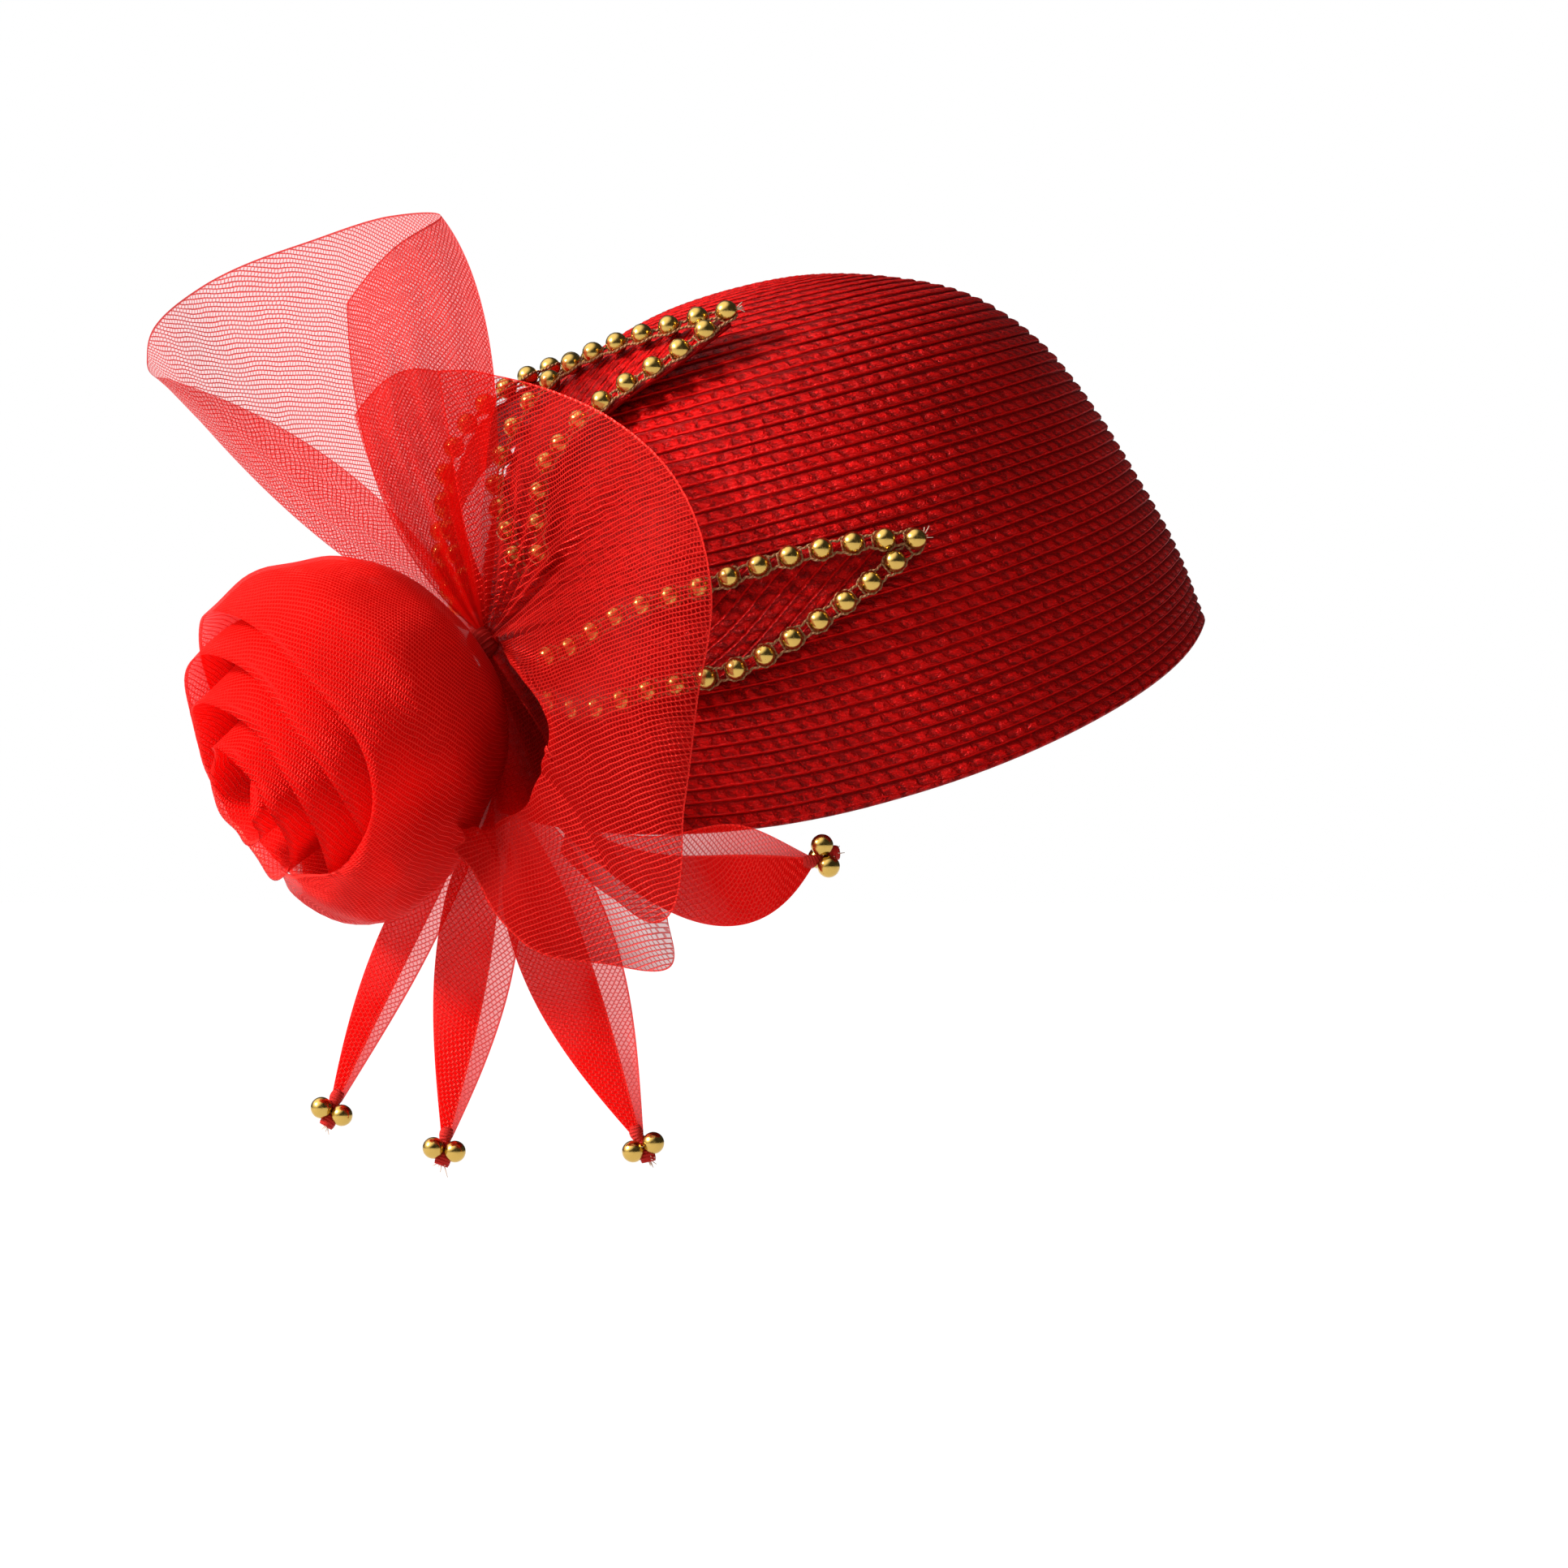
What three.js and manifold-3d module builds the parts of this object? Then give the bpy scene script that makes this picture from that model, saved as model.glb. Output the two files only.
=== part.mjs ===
// Church hat: a deep crown of red straw braid. Its left front carries a wound crinoline rose, an open
// loop round a smaller inner fold, a ruffle with its tail, four pointed petals and three straw leaves
// edged with gold beads.
//
// Millimetres, +Z up. The front of the hat is -X and its left side is -Y. The origin is the middle of the
// head opening, level with the rim at front and back. Angles are degrees.

import * as THREE from 'three';
import { mergeVertices } from 'three/addons/utils/BufferGeometryUtils.js';
import Module from 'manifold-3d';

const wasm = await Module();
wasm.setup();

// Walls and clearances
const CROWN_WALL = 2.0;
const CRIN_WALL = 1.0;
const LEAF_WALL = 1.4;
const GAP = 0.35;

// Crown: each row of the table is one braid row. run is its distance from the tip along the braid, and
// drop is how far it lies below the tip, at the ends (front and back) and at the two sides.
const CROWN_LEAN = 15;
const CROWN_HEIGHT = 140;
const RUN_STEP = 26;
const SIDE_DIP = 1.7;
// The back half falls away faster: a broad dip with a tight one at the very back, which rounds the rim's corner.
const BACK_DIP = { broad: 2.2, tight: 12, share: 0.75 };
const SLOPE_STEP = 0.05;
const CROWN_ROWS = [
  { run: 0, back: 0, front: 0, side: 0, endDrop: 0, sideDrop: 0 },
  { run: 26, back: 25.9, front: 25.8, side: 25.8, endDrop: 2.0, sideDrop: 2.0 },
  { run: 52, back: 50.8, front: 50.2, side: 50.4, endDrop: 9.4, sideDrop: 9.6 },
  { run: 78, back: 73.8, front: 70.4, side: 70.8, endDrop: 21.3, sideDrop: 23.8 },
  { run: 104, back: 91.0, front: 86.7, side: 84.2, endDrop: 40.7, sideDrop: 45.2 },
  { run: 130, back: 101.9, front: 99.1, side: 91.1, endDrop: 64.3, sideDrop: 72.2 },
  { run: 156, back: 109.7, front: 107.0, side: 94.4, endDrop: 89.3, sideDrop: 102.4 },
  { run: 182, back: 116.2, front: 111.8, side: 96.8, endDrop: 114.8, sideDrop: 133.7 },
  { run: 208, back: 119.1, front: 115.0, side: 98.5, endDrop: 140.0, sideDrop: 169.0 },
];
const CROWN_RINGS = 11;
const CROWN_COLUMNS = 36;

// Gathered knob: the sewn ends of the crinoline, seated on the crown at one run and one turn.
// turn on the crown is 0 at the back, 180 at the front and 270 at the left side.
const KNOB = { run: 155, turn: 206, radius: 9.0, sides: 12, belts: 8 };

// Leaves on the crown: a row for each station from root to tip.
const LEAF_TABLES = {
  a: [
    { run: 166, turn: 218, halfWidth: 5.0, lift: 1.3 },
    { run: 167, turn: 228, halfWidth: 10.0, lift: 1.3 },
    { run: 162, turn: 240, halfWidth: 12.5, lift: 1.3 },
    { run: 160, turn: 254, halfWidth: 13.5, lift: 1.3 },
    { run: 156, turn: 266, halfWidth: 11.5, lift: 1.5 },
    { run: 153, turn: 277, halfWidth: 7.0, lift: 1.8 },
    { run: 151, turn: 287, halfWidth: 1.0, lift: 2.4 },
  ],
  b: [
    { run: 136, turn: 219, halfWidth: 4.3, lift: 1.3 },
    { run: 120, turn: 215.5, halfWidth: 8.5, lift: 1.6 },
    { run: 103, turn: 213, halfWidth: 15.0, lift: 3.0 },
    { run: 88, turn: 221, halfWidth: 14.0, lift: 3.6 },
    { run: 81, turn: 235, halfWidth: 10.0, lift: 4.4 },
    { run: 77, turn: 252, halfWidth: 5.8, lift: 5.6 },
    { run: 73, turn: 267, halfWidth: 1.0, lift: 7.0 },
  ],
  c: [
    { run: 144, turn: 196, halfWidth: 4.3, lift: 0.95 },
    { run: 128, turn: 185, halfWidth: 8.0, lift: 8.0 },
    { run: 112, turn: 178, halfWidth: 11.0, lift: 13.5 },
    { run: 96, turn: 172, halfWidth: 12.0, lift: 13.0 },
    { run: 82, turn: 164, halfWidth: 11.0, lift: 8.0 },
    { run: 70, turn: 150, halfWidth: 8.0, lift: 4.0 },
    { run: 62, turn: 126, halfWidth: 1.0, lift: 3.0 },
  ],
};
const LEAF_STATIONS = 12;
const LEAF_STEP = 0.02;

// The straw reaches a little past the bead strings that lie along its edges.
const LEAF_SIDES = [-1.08, 0, 1.08];

// Bead strings: round beads as short barrels between necks of tape
const BEAD = { radius: 3.25, pitch: 9.8, sides: 10, belt: 1.6, beltRadius: 3.1, neckRadius: 1.1 };
const STRING_SAMPLES = 40;

// Wound rose: a row for each turn of the strip, from the outermost in. baseRadius is where it leaves the
// knob. The rims stand further out on the lower side, and the whole bowl lies a little above its axis.
const ROSE_AXIS = new THREE.Vector3(-0.752, -0.342, -0.573);
const ROSE_TURNS = [
  { rimRadius: 59, rimHeight: 64, baseRadius: 8.5 },
  { rimRadius: 51, rimHeight: 73, baseRadius: 7.4 },
  { rimRadius: 42, rimHeight: 84, baseRadius: 6.3 },
  { rimRadius: 29, rimHeight: 91, baseRadius: 5.2 },
  { rimRadius: 16, rimHeight: 95, baseRadius: 4.1 },
];
const ROSE_STEPS_A_TURN = 13;
const ROSE_LEVELS = [0, 0.25, 0.5, 0.75, 1];
const ROSE_START = 80;
const ROSE_ROLL = 3.0;
const ROSE_TILT = 3.0;
const ROSE_RISE = 4.0;
const ROSE_BULGE = 5.0;

// Fanned sheets: a row for each rib, from the knob to the free edge. turn is clockwise from straight up as
// seen from the left side, reach is the rib's length in that view, bow its sideways bend, and midOut and
// rimOut are how far it stands out to the left at its middle and at the free edge. bend is the share of
// the reach at which the bow pulls.
const LOOP_RIBS = [
  { turn: -21, reach: 110, bow: -12, bend: 0.4, midOut: 26, rimOut: 38 },
  { turn: -12, reach: 122, bow: -3, bend: 0.55, midOut: 29, rimOut: 38 },
  { turn: -5, reach: 131, bow: 11, bend: 0.75, midOut: 21, rimOut: 26 },
  { turn: -12, reach: 136, bow: 6, bend: 0.7, midOut: 2, rimOut: 2 },
  { turn: -24, reach: 139, bow: 3, bend: 0.6, midOut: -20, rimOut: -20 },
  { turn: -38, reach: 145, bow: 0, bend: 0.5, midOut: -30, rimOut: -27 },
  { turn: -46, reach: 145, bow: -8, bend: 0.5, midOut: -28, rimOut: -20 },
  { turn: -50, reach: 138, bow: -7, bend: 0.5, midOut: -18, rimOut: -8 },
  { turn: -51, reach: 132, bow: 2, bend: 0.5, midOut: -4, rimOut: 4 },
  { turn: -50, reach: 127, bow: 13, bend: 0.5, midOut: 8, rimOut: 12 },
];
const INNER_RIBS = [
  { turn: -29, reach: 80, bow: -5, bend: 0.5, midOut: 13, rimOut: 16 },
  { turn: -20, reach: 86, bow: -2, bend: 0.5, midOut: 11, rimOut: 15 },
  { turn: -14, reach: 87, bow: -1, bend: 0.5, midOut: 10, rimOut: 14 },
  { turn: -9, reach: 85, bow: 0, bend: 0.5, midOut: 9, rimOut: 12 },
];
const RUFFLE_RIBS = [
  { turn: 5, reach: 82, bow: 7.5, bend: 0.5, midOut: 24, rimOut: 18 },
  { turn: 18, reach: 80, bow: 5, bend: 0.5, midOut: 29, rimOut: 28 },
  { turn: 33, reach: 79, bow: 4, bend: 0.5, midOut: 36, rimOut: 44 },
  { turn: 52, reach: 78, bow: 2, bend: 0.5, midOut: 42, rimOut: 57 },
  { turn: 78, reach: 74, bow: 0, bend: 0.5, midOut: 57, rimOut: 69 },
  { turn: 105, reach: 71, bow: -1, bend: 0.5, midOut: 71, rimOut: 77 },
  { turn: 128, reach: 82, bow: 0, bend: 0.5, midOut: 78, rimOut: 80 },
  { turn: 145, reach: 103, bow: -2, bend: 0.5, midOut: 74, rimOut: 74 },
  { turn: 152, reach: 88, bow: -6, bend: 0.5, midOut: 63, rimOut: 64 },
  { turn: 158, reach: 70, bow: -10, bend: 0.5, midOut: 48, rimOut: 50 },
];
const TAIL_RIBS = [
  { turn: 180, reach: 71, bow: -9, bend: 0.5, midOut: 20, rimOut: 54 },
  { turn: 175, reach: 84, bow: -8, bend: 0.5, midOut: 22, rimOut: 60 },
  { turn: 168, reach: 97, bow: -5, bend: 0.5, midOut: 27, rimOut: 64 },
  { turn: 158, reach: 106, bow: -1, bend: 0.5, midOut: 32, rimOut: 66 },
  { turn: 149, reach: 116, bow: 3, bend: 0.5, midOut: 38, rimOut: 66 },
  { turn: 145, reach: 103, bow: 3, bend: 0.5, midOut: 38, rimOut: 62 },
];
const RIB_LEVELS = 5;
const FAN_STEPS = { loop: 18, inner_fold: 6, ruffle: 20, ruffle_tail: 10 };

// Roots of the fanned sheets are drawn round the knob by this much, away from the rose's axis.
const ROOT_TURN_AWAY = 0.6;

// Petals: folded crinoline pinched to a beaded point. Each hangs from its seat on the crown's outer face
// just above the rim, lifted off the face by its own plies. The tip is in the hat's frame. bow bends the
// petal to the front or down and bellyOut to the left. widest shifts the full width towards the tip.
const PETAL_ROWS = [
  {
    seatTurn: 187, lift: 1.8, tipX: -159, tipY: -45, tipZ: -121,
    bow: 2, bellyOut: 4, width: 17, widest: 0.85,
  },
  {
    seatTurn: 195, lift: 1.8, tipX: -124, tipY: -55, tipZ: -132,
    bow: -1, bellyOut: 4, width: 25, widest: 0.85,
  },
  {
    seatTurn: 203, lift: 2.4, tipX: -64, tipY: -75, tipZ: -130,
    bow: 1, bellyOut: 8, width: 31, widest: 0.85,
  },
  {
    seatTurn: 211, lift: 2.2, tipX: -11, tipY: -95, tipZ: -45.5,
    bow: 13, bellyOut: 20, width: 31, widest: 2.2,
  },
];
const PETAL_SEAT_RUN = 199;
const PETAL_UNTWIST = 0.35;
const PETAL_ROOT_WIDTH = 7;
const PETAL_TIP_WIDTH = 3.4;
const PETAL_PLY_SPACE = 2.4;
const PETAL_STATIONS = 8;

// Section of a petal, from the back ply's free edge round the fold to the front ply's free edge. across is
// a share of the half width and ply a share of half the space between the plies.
const PETAL_SECTION = [
  { across: -1, ply: -1 },
  { across: 0, ply: -1.15 },
  { across: 0.85, ply: -0.9 },
  { across: 1, ply: 0 },
  { across: 0.85, ply: 0.9 },
  { across: 0.1, ply: 1.15 },
  { across: -0.4, ply: 1 },
];
const TIP_BEAD = { radius: 3.4, ring: 3.9, count: 3, firstTurn: 30, sides: 10, belts: 5 };
const TIP_KNOT = { radius: 1.7, endRadius: 2.04, length: 9, sides: 8 };

const RED_STRAW = new THREE.MeshStandardMaterial({ color: 0xb3121c, roughness: 0.42, metalness: 0 });
const RED_CRIN = new THREE.MeshStandardMaterial({ color: 0xe81c1c, roughness: 0.5, metalness: 0 });
const GOLD_BEAD = new THREE.MeshStandardMaterial({ color: 0xc9a23a, roughness: 0.18, metalness: 1 });

const UP = new THREE.Vector3(0, 0, 1);
const LEFT = new THREE.Vector3(0, -1, 0);

// A direction that none of the round bars follows, from which their first spoke is taken
const OFF_BAR = new THREE.Vector3(0.3, 0.2, 0.9);

const radians = THREE.MathUtils.degToRad;

// One column of a table read at a fractional row, as a Catmull-Rom curve through the rows.
function readColumn(table, column, position) {
  const last = table.length - 1;
  const row = Math.min(Math.floor(position), last - 1);
  const t = position - row;
  const before = table[Math.max(row - 1, 0)][column];
  const from = table[row][column];
  const to = table[row + 1][column];
  const after = table[Math.min(row + 2, last)][column];
  const slopeFrom = (to - before) / (row === 0 ? 1 : 2);
  const slopeTo = (after - from) / (row === last - 1 ? 1 : 2);
  const t2 = t * t;
  const t3 = t2 * t;
  return (2 * t3 - 3 * t2 + 1) * from + (t3 - 2 * t2 + t) * slopeFrom
    + (3 * t2 - 2 * t3) * to + (t3 - t2) * slopeTo;
}

function readRow(table, position) {
  const row = {};
  for (const column of Object.keys(table[0])) {
    row[column] = readColumn(table, column, position);
  }
  return row;
}

// Triangles join two matching grids of points, front and back, and their rims into one closed wall.
function joinGrids(front, back, around) {
  const rowCount = front.length;
  const columnCount = front[0].length;
  const positions = [];
  for (const grid of [front, back]) {
    for (const row of grid) {
      for (const point of row) {
        positions.push(point.x, point.y, point.z);
      }
    }
  }
  const offset = rowCount * columnCount;
  const at = (side, row, column) => side * offset + row * columnCount + (column % columnCount);
  const indices = [];
  const quad = (a, b, c, d) => indices.push(a, b, c, a, c, d);
  const columnSteps = around ? columnCount : columnCount - 1;
  for (let row = 0; row < rowCount - 1; row += 1) {
    for (let column = 0; column < columnSteps; column += 1) {
      quad(at(0, row, column), at(0, row, column + 1), at(0, row + 1, column + 1), at(0, row + 1, column));
      quad(at(1, row, column), at(1, row + 1, column), at(1, row + 1, column + 1), at(1, row, column + 1));
    }
  }
  for (let column = 0; column < columnSteps; column += 1) {
    const last = rowCount - 1;
    quad(at(0, 0, column + 1), at(0, 0, column), at(1, 0, column), at(1, 0, column + 1));
    quad(at(0, last, column), at(0, last, column + 1), at(1, last, column + 1), at(1, last, column));
  }
  if (!around) {
    const last = columnCount - 1;
    for (let row = 0; row < rowCount - 1; row += 1) {
      quad(at(0, row, 0), at(0, row + 1, 0), at(1, row + 1, 0), at(1, row, 0));
      quad(at(0, row + 1, last), at(0, row, last), at(1, row, last), at(1, row + 1, last));
    }
  }
  return outwardGeometry(positions, indices);
}

function outwardGeometry(positions, indices) {
  const corner = (index) => new THREE.Vector3().fromArray(positions, 3 * index);
  let volume = 0;
  for (let i = 0; i < indices.length; i += 3) {
    volume += corner(indices[i]).dot(corner(indices[i + 1]).cross(corner(indices[i + 2])));
  }
  const facing = [...indices];
  if (volume < 0) {
    for (let i = 0; i < facing.length; i += 3) {
      [facing[i + 1], facing[i + 2]] = [facing[i + 2], facing[i + 1]];
    }
  }
  const geometry = new THREE.BufferGeometry();
  geometry.setAttribute('position', new THREE.Float32BufferAttribute(positions, 3));
  geometry.setIndex(facing);
  return geometry;
}

// A sheet's middle surface becomes a wall by moving its points half the thickness along their normals.
function thicken(grid, thickness) {
  const last = (list) => list.length - 1;
  const normals = grid.map((row, i) => row.map((point, j) => {
    const along = grid[Math.min(i + 1, last(grid))][j].clone().sub(grid[Math.max(i - 1, 0)][j]);
    const across = row[Math.min(j + 1, last(row))].clone().sub(row[Math.max(j - 1, 0)]);
    return along.cross(across).normalize();
  }));
  const shifted = (distance) => grid.map((row, i) => row.map((point, j) => (
    point.clone().addScaledVector(normals[i][j], distance)
  )));
  return joinGrids(shifted(thickness / 2), shifted(-thickness / 2), false);
}

// A round bar of changing radius along a path, closed at both ends.
function sweepRound(points, radii, sides) {
  const positions = [];
  const indices = [];
  let normal = new THREE.Vector3();
  points.forEach((point, i) => {
    const next = points[Math.min(i + 1, points.length - 1)];
    const before = points[Math.max(i - 1, 0)];
    const tangent = next.clone().sub(before).normalize();
    if (i === 0) {
      normal = OFF_BAR.clone().cross(tangent);
    }
    normal.addScaledVector(tangent, -normal.dot(tangent)).normalize();
    const binormal = tangent.clone().cross(normal);
    for (let side = 0; side < sides; side += 1) {
      const angle = (2 * Math.PI * side) / sides;
      const spoke = point.clone()
        .addScaledVector(normal, radii[i] * Math.cos(angle))
        .addScaledVector(binormal, radii[i] * Math.sin(angle));
      positions.push(spoke.x, spoke.y, spoke.z);
    }
  });
  for (let ring = 0; ring < points.length - 1; ring += 1) {
    for (let side = 0; side < sides; side += 1) {
      const a = ring * sides + side;
      const b = ring * sides + ((side + 1) % sides);
      indices.push(a, b, b + sides, a, b + sides, a + sides);
    }
  }
  const end = (points.length - 1) * sides;
  for (let side = 1; side < sides - 1; side += 1) {
    indices.push(0, side + 1, side);
    indices.push(end, end + side, end + side + 1);
  }
  return outwardGeometry(positions, indices);
}

// Overlapping closed bodies become one.
function fuse(geometries) {
  const solids = geometries.map((geometry) => {
    const bare = new THREE.BufferGeometry();
    bare.setAttribute('position', geometry.getAttribute('position').clone());
    bare.setIndex(geometry.getIndex().clone());
    const merged = mergeVertices(bare);
    return new wasm.Manifold(new wasm.Mesh({
      numProp: 3,
      vertProperties: Float32Array.from(merged.getAttribute('position').array),
      triVerts: Uint32Array.from(merged.getIndex().array),
    }));
  });
  const joined = solids.reduce((sum, solid) => sum.add(solid)).getMesh();
  const geometry = new THREE.BufferGeometry();
  geometry.setAttribute('position', new THREE.BufferAttribute(Float32Array.from(joined.vertProperties), 3));
  geometry.setIndex(Array.from(joined.triVerts));
  return geometry;
}

// A point of the crown's outer face in the crown's own upright frame.
function crownDip(angle) {
  const back = Math.cos(angle);
  if (back <= 0) return Math.abs(Math.sin(angle)) ** SIDE_DIP;
  return 1 - BACK_DIP.share * back ** BACK_DIP.broad - (1 - BACK_DIP.share) * back ** BACK_DIP.tight;
}

function crownFace(run, turn) {
  const row = readRow(CROWN_ROWS, run / RUN_STEP);
  const angle = radians(turn);
  const length = Math.cos(angle) > 0 ? row.back : row.front;
  const dip = crownDip(angle);
  return new THREE.Vector3(
    length * Math.cos(angle),
    row.side * Math.sin(angle),
    CROWN_HEIGHT - row.endDrop - (row.sideDrop - row.endDrop) * dip,
  );
}

function crownSlopes(run, turn) {
  const step = SLOPE_STEP;
  const down = crownFace(run + step, turn).sub(crownFace(run - step, turn)).divideScalar(2 * step);
  const round = crownFace(run, turn + step).sub(crownFace(run, turn - step)).divideScalar(2 * step);
  return { down, round, normal: down.clone().cross(round).normalize() };
}

function aboveCrown(run, turn, lift) {
  return crownFace(run, turn).addScaledVector(crownSlopes(run, turn).normal, lift);
}

// The same point in the hat's frame, with the crown leaning forward.
function leaned(point) {
  return point.applyAxisAngle(new THREE.Vector3(0, 1, 0), radians(-CROWN_LEAN));
}

function crownGeometry() {
  const rimRun = CROWN_ROWS[CROWN_ROWS.length - 1].run;
  const positions = [];
  const indices = [];
  for (const lift of [0, -CROWN_WALL]) {
    positions.push(0, 0, CROWN_HEIGHT + lift);
    for (let ring = 1; ring <= CROWN_RINGS; ring += 1) {
      for (let column = 0; column < CROWN_COLUMNS; column += 1) {
        const turn = (360 * column) / CROWN_COLUMNS;
        const point = aboveCrown((rimRun * ring) / CROWN_RINGS, turn, lift);
        positions.push(point.x, point.y, point.z);
      }
    }
  }
  const faceSize = 1 + CROWN_RINGS * CROWN_COLUMNS;
  const at = (face, ring, column) => (
    face * faceSize + 1 + (ring - 1) * CROWN_COLUMNS + (column % CROWN_COLUMNS)
  );
  for (let column = 0; column < CROWN_COLUMNS; column += 1) {
    indices.push(0, at(0, 1, column), at(0, 1, column + 1));
    indices.push(faceSize, at(1, 1, column + 1), at(1, 1, column));
    for (let ring = 1; ring < CROWN_RINGS; ring += 1) {
      const [a, b] = [at(0, ring, column), at(0, ring, column + 1)];
      const [c, d] = [at(0, ring + 1, column + 1), at(0, ring + 1, column)];
      indices.push(a, d, c, a, c, b);
      indices.push(a + faceSize, c + faceSize, d + faceSize, a + faceSize, b + faceSize, c + faceSize);
    }
    const [e, f] = [at(0, CROWN_RINGS, column), at(0, CROWN_RINGS, column + 1)];
    indices.push(e, e + faceSize, f + faceSize, e, f + faceSize, f);
  }
  return outwardGeometry(positions, indices);
}

// A point on a leaf: side is -1 at its lower edge, 0 on the midrib and 1 at its upper edge.
function leafPoint(table, position, side, extraLift) {
  const here = readRow(table, position);
  const last = table.length - 1;
  const back = readRow(table, Math.max(position - LEAF_STEP, 0));
  const ahead = readRow(table, Math.min(position + LEAF_STEP, last));
  const { down, round } = crownSlopes(here.run, here.turn);
  const along = down.clone().multiplyScalar(ahead.run - back.run)
    .addScaledVector(round, ahead.turn - back.turn).normalize();
  const width = side * here.halfWidth;
  const downLength = down.length();
  const roundLength = round.length();
  const runShift = -along.dot(round) / roundLength / downLength * width;
  const turnShift = along.dot(down) / downLength / roundLength * width;
  return aboveCrown(here.run + runShift, here.turn + turnShift, here.lift + extraLift);
}

function leafGeometry(table) {
  const grid = [];
  for (let station = 0; station <= LEAF_STATIONS; station += 1) {
    const position = ((table.length - 1) * station) / LEAF_STATIONS;
    grid.push(LEAF_SIDES.map((side) => leafPoint(table, position, side, 0)));
  }
  return thicken(grid, LEAF_WALL);
}

// Both edges of a leaf carry beads on a narrow tape. The two runs meet in the bead at the tip.
function beadStringGeometry(table) {
  const beadLift = LEAF_WALL / 2 + GAP + BEAD.radius;
  const runs = [-1, 1].map((side) => {
    const points = [];
    for (let i = 0; i <= STRING_SAMPLES; i += 1) {
      const position = ((table.length - 1) * i) / STRING_SAMPLES;
      const edge = i === STRING_SAMPLES ? 0 : side;
      points.push(leafPoint(table, position, edge, beadLift));
    }
    return new THREE.CatmullRomCurve3(points, false, 'centripetal');
  });
  return fuse(runs.map((curve, index) => {
    const length = curve.getLength();
    const count = Math.floor((length - BEAD.radius) / BEAD.pitch);
    const stops = [];
    const lastBead = index === 0 ? 0 : 1;
    for (let bead = count; bead >= lastBead; bead -= 1) {
      const centre = length - bead * BEAD.pitch;
      stops.push({ distance: centre - BEAD.pitch / 2, radius: BEAD.neckRadius });
      stops.push({ distance: centre - BEAD.belt, radius: BEAD.beltRadius });
      stops.push({ distance: centre + BEAD.belt, radius: BEAD.beltRadius });
    }
    if (index === 0) {
      stops[stops.length - 2].distance = length - 2 * BEAD.belt;
      stops[stops.length - 1].distance = length;
    } else {
      stops.push({ distance: length - BEAD.belt, radius: BEAD.neckRadius });
    }
    const inside = stops.filter((stop) => stop.distance > 0);
    const points = inside.map((stop) => curve.getPointAt(Math.min(stop.distance / length, 1)));
    return sweepRound(points, inside.map((stop) => stop.radius), BEAD.sides);
  }));
}

// Middle of the gathered knob in the hat's frame
const knobCentre = leaned(aboveCrown(KNOB.run, KNOB.turn, KNOB.radius + GAP));
const rootReach = KNOB.radius + GAP + CRIN_WALL / 2;

// A rib is one quadratic curve from the knob to the free edge.
function ribPoint(rib, level) {
  const angle = radians(rib.turn);
  const outward = new THREE.Vector3(Math.sin(angle), 0, Math.cos(angle));
  const sideways = new THREE.Vector3(Math.cos(angle), 0, -Math.sin(angle));
  const rim = outward.clone().multiplyScalar(rib.reach).addScaledVector(LEFT, rib.rimOut);
  const pull = outward.clone().multiplyScalar(rib.reach * rib.bend)
    .addScaledVector(sideways, 2 * rib.bow).addScaledVector(LEFT, 2 * rib.midOut - rib.rimOut / 2);
  const root = pull.clone().normalize().addScaledVector(ROSE_AXIS, -ROOT_TURN_AWAY)
    .normalize().multiplyScalar(rootReach);
  return root.multiplyScalar((1 - level) ** 2)
    .addScaledVector(pull, 2 * level * (1 - level))
    .addScaledVector(rim, level ** 2);
}

function fanGeometry(ribs, steps) {
  const grid = [];
  for (let step = 0; step <= steps; step += 1) {
    const rib = readRow(ribs, ((ribs.length - 1) * step) / steps);
    const row = [];
    for (let level = 0; level <= RIB_LEVELS; level += 1) {
      row.push(ribPoint(rib, level / RIB_LEVELS));
    }
    grid.push(row);
  }
  return thicken(grid, CRIN_WALL);
}

function roseGeometry() {
  const axis = ROSE_AXIS.clone().normalize();
  const top = UP.clone().addScaledVector(axis, -UP.dot(axis)).normalize();
  const side = axis.clone().cross(top);
  const turns = ROSE_TURNS.length - 1;
  const clear = rootReach + GAP;
  const grid = [];
  for (let step = 0; step <= turns * ROSE_STEPS_A_TURN; step += 1) {
    const row = readRow(ROSE_TURNS, step / ROSE_STEPS_A_TURN);
    const angle = radians(ROSE_START + (360 * step) / ROSE_STEPS_A_TURN);
    const baseHeight = Math.sqrt(clear ** 2 - row.baseRadius ** 2);
    grid.push(ROSE_LEVELS.map((level) => {
      const sweep = (level * Math.PI) / 2;
      const roll = ROSE_ROLL * Math.max(0, 4 * level - 3);
      const rise = ROSE_RISE * level + ROSE_BULGE * Math.sin(Math.PI * level);
      const tilt = ROSE_TILT * Math.cos(angle) * level ** 2;
      const radius = row.baseRadius + (row.rimRadius - row.baseRadius) * Math.sin(sweep) + roll;
      const height = baseHeight + (row.rimHeight - baseHeight) * (1 - Math.cos(sweep)) - tilt;
      return axis.clone().multiplyScalar(height)
        .addScaledVector(top, radius * Math.cos(angle) + rise)
        .addScaledVector(side, radius * Math.sin(angle));
    }));
  }
  return thicken(grid, CRIN_WALL);
}

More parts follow.
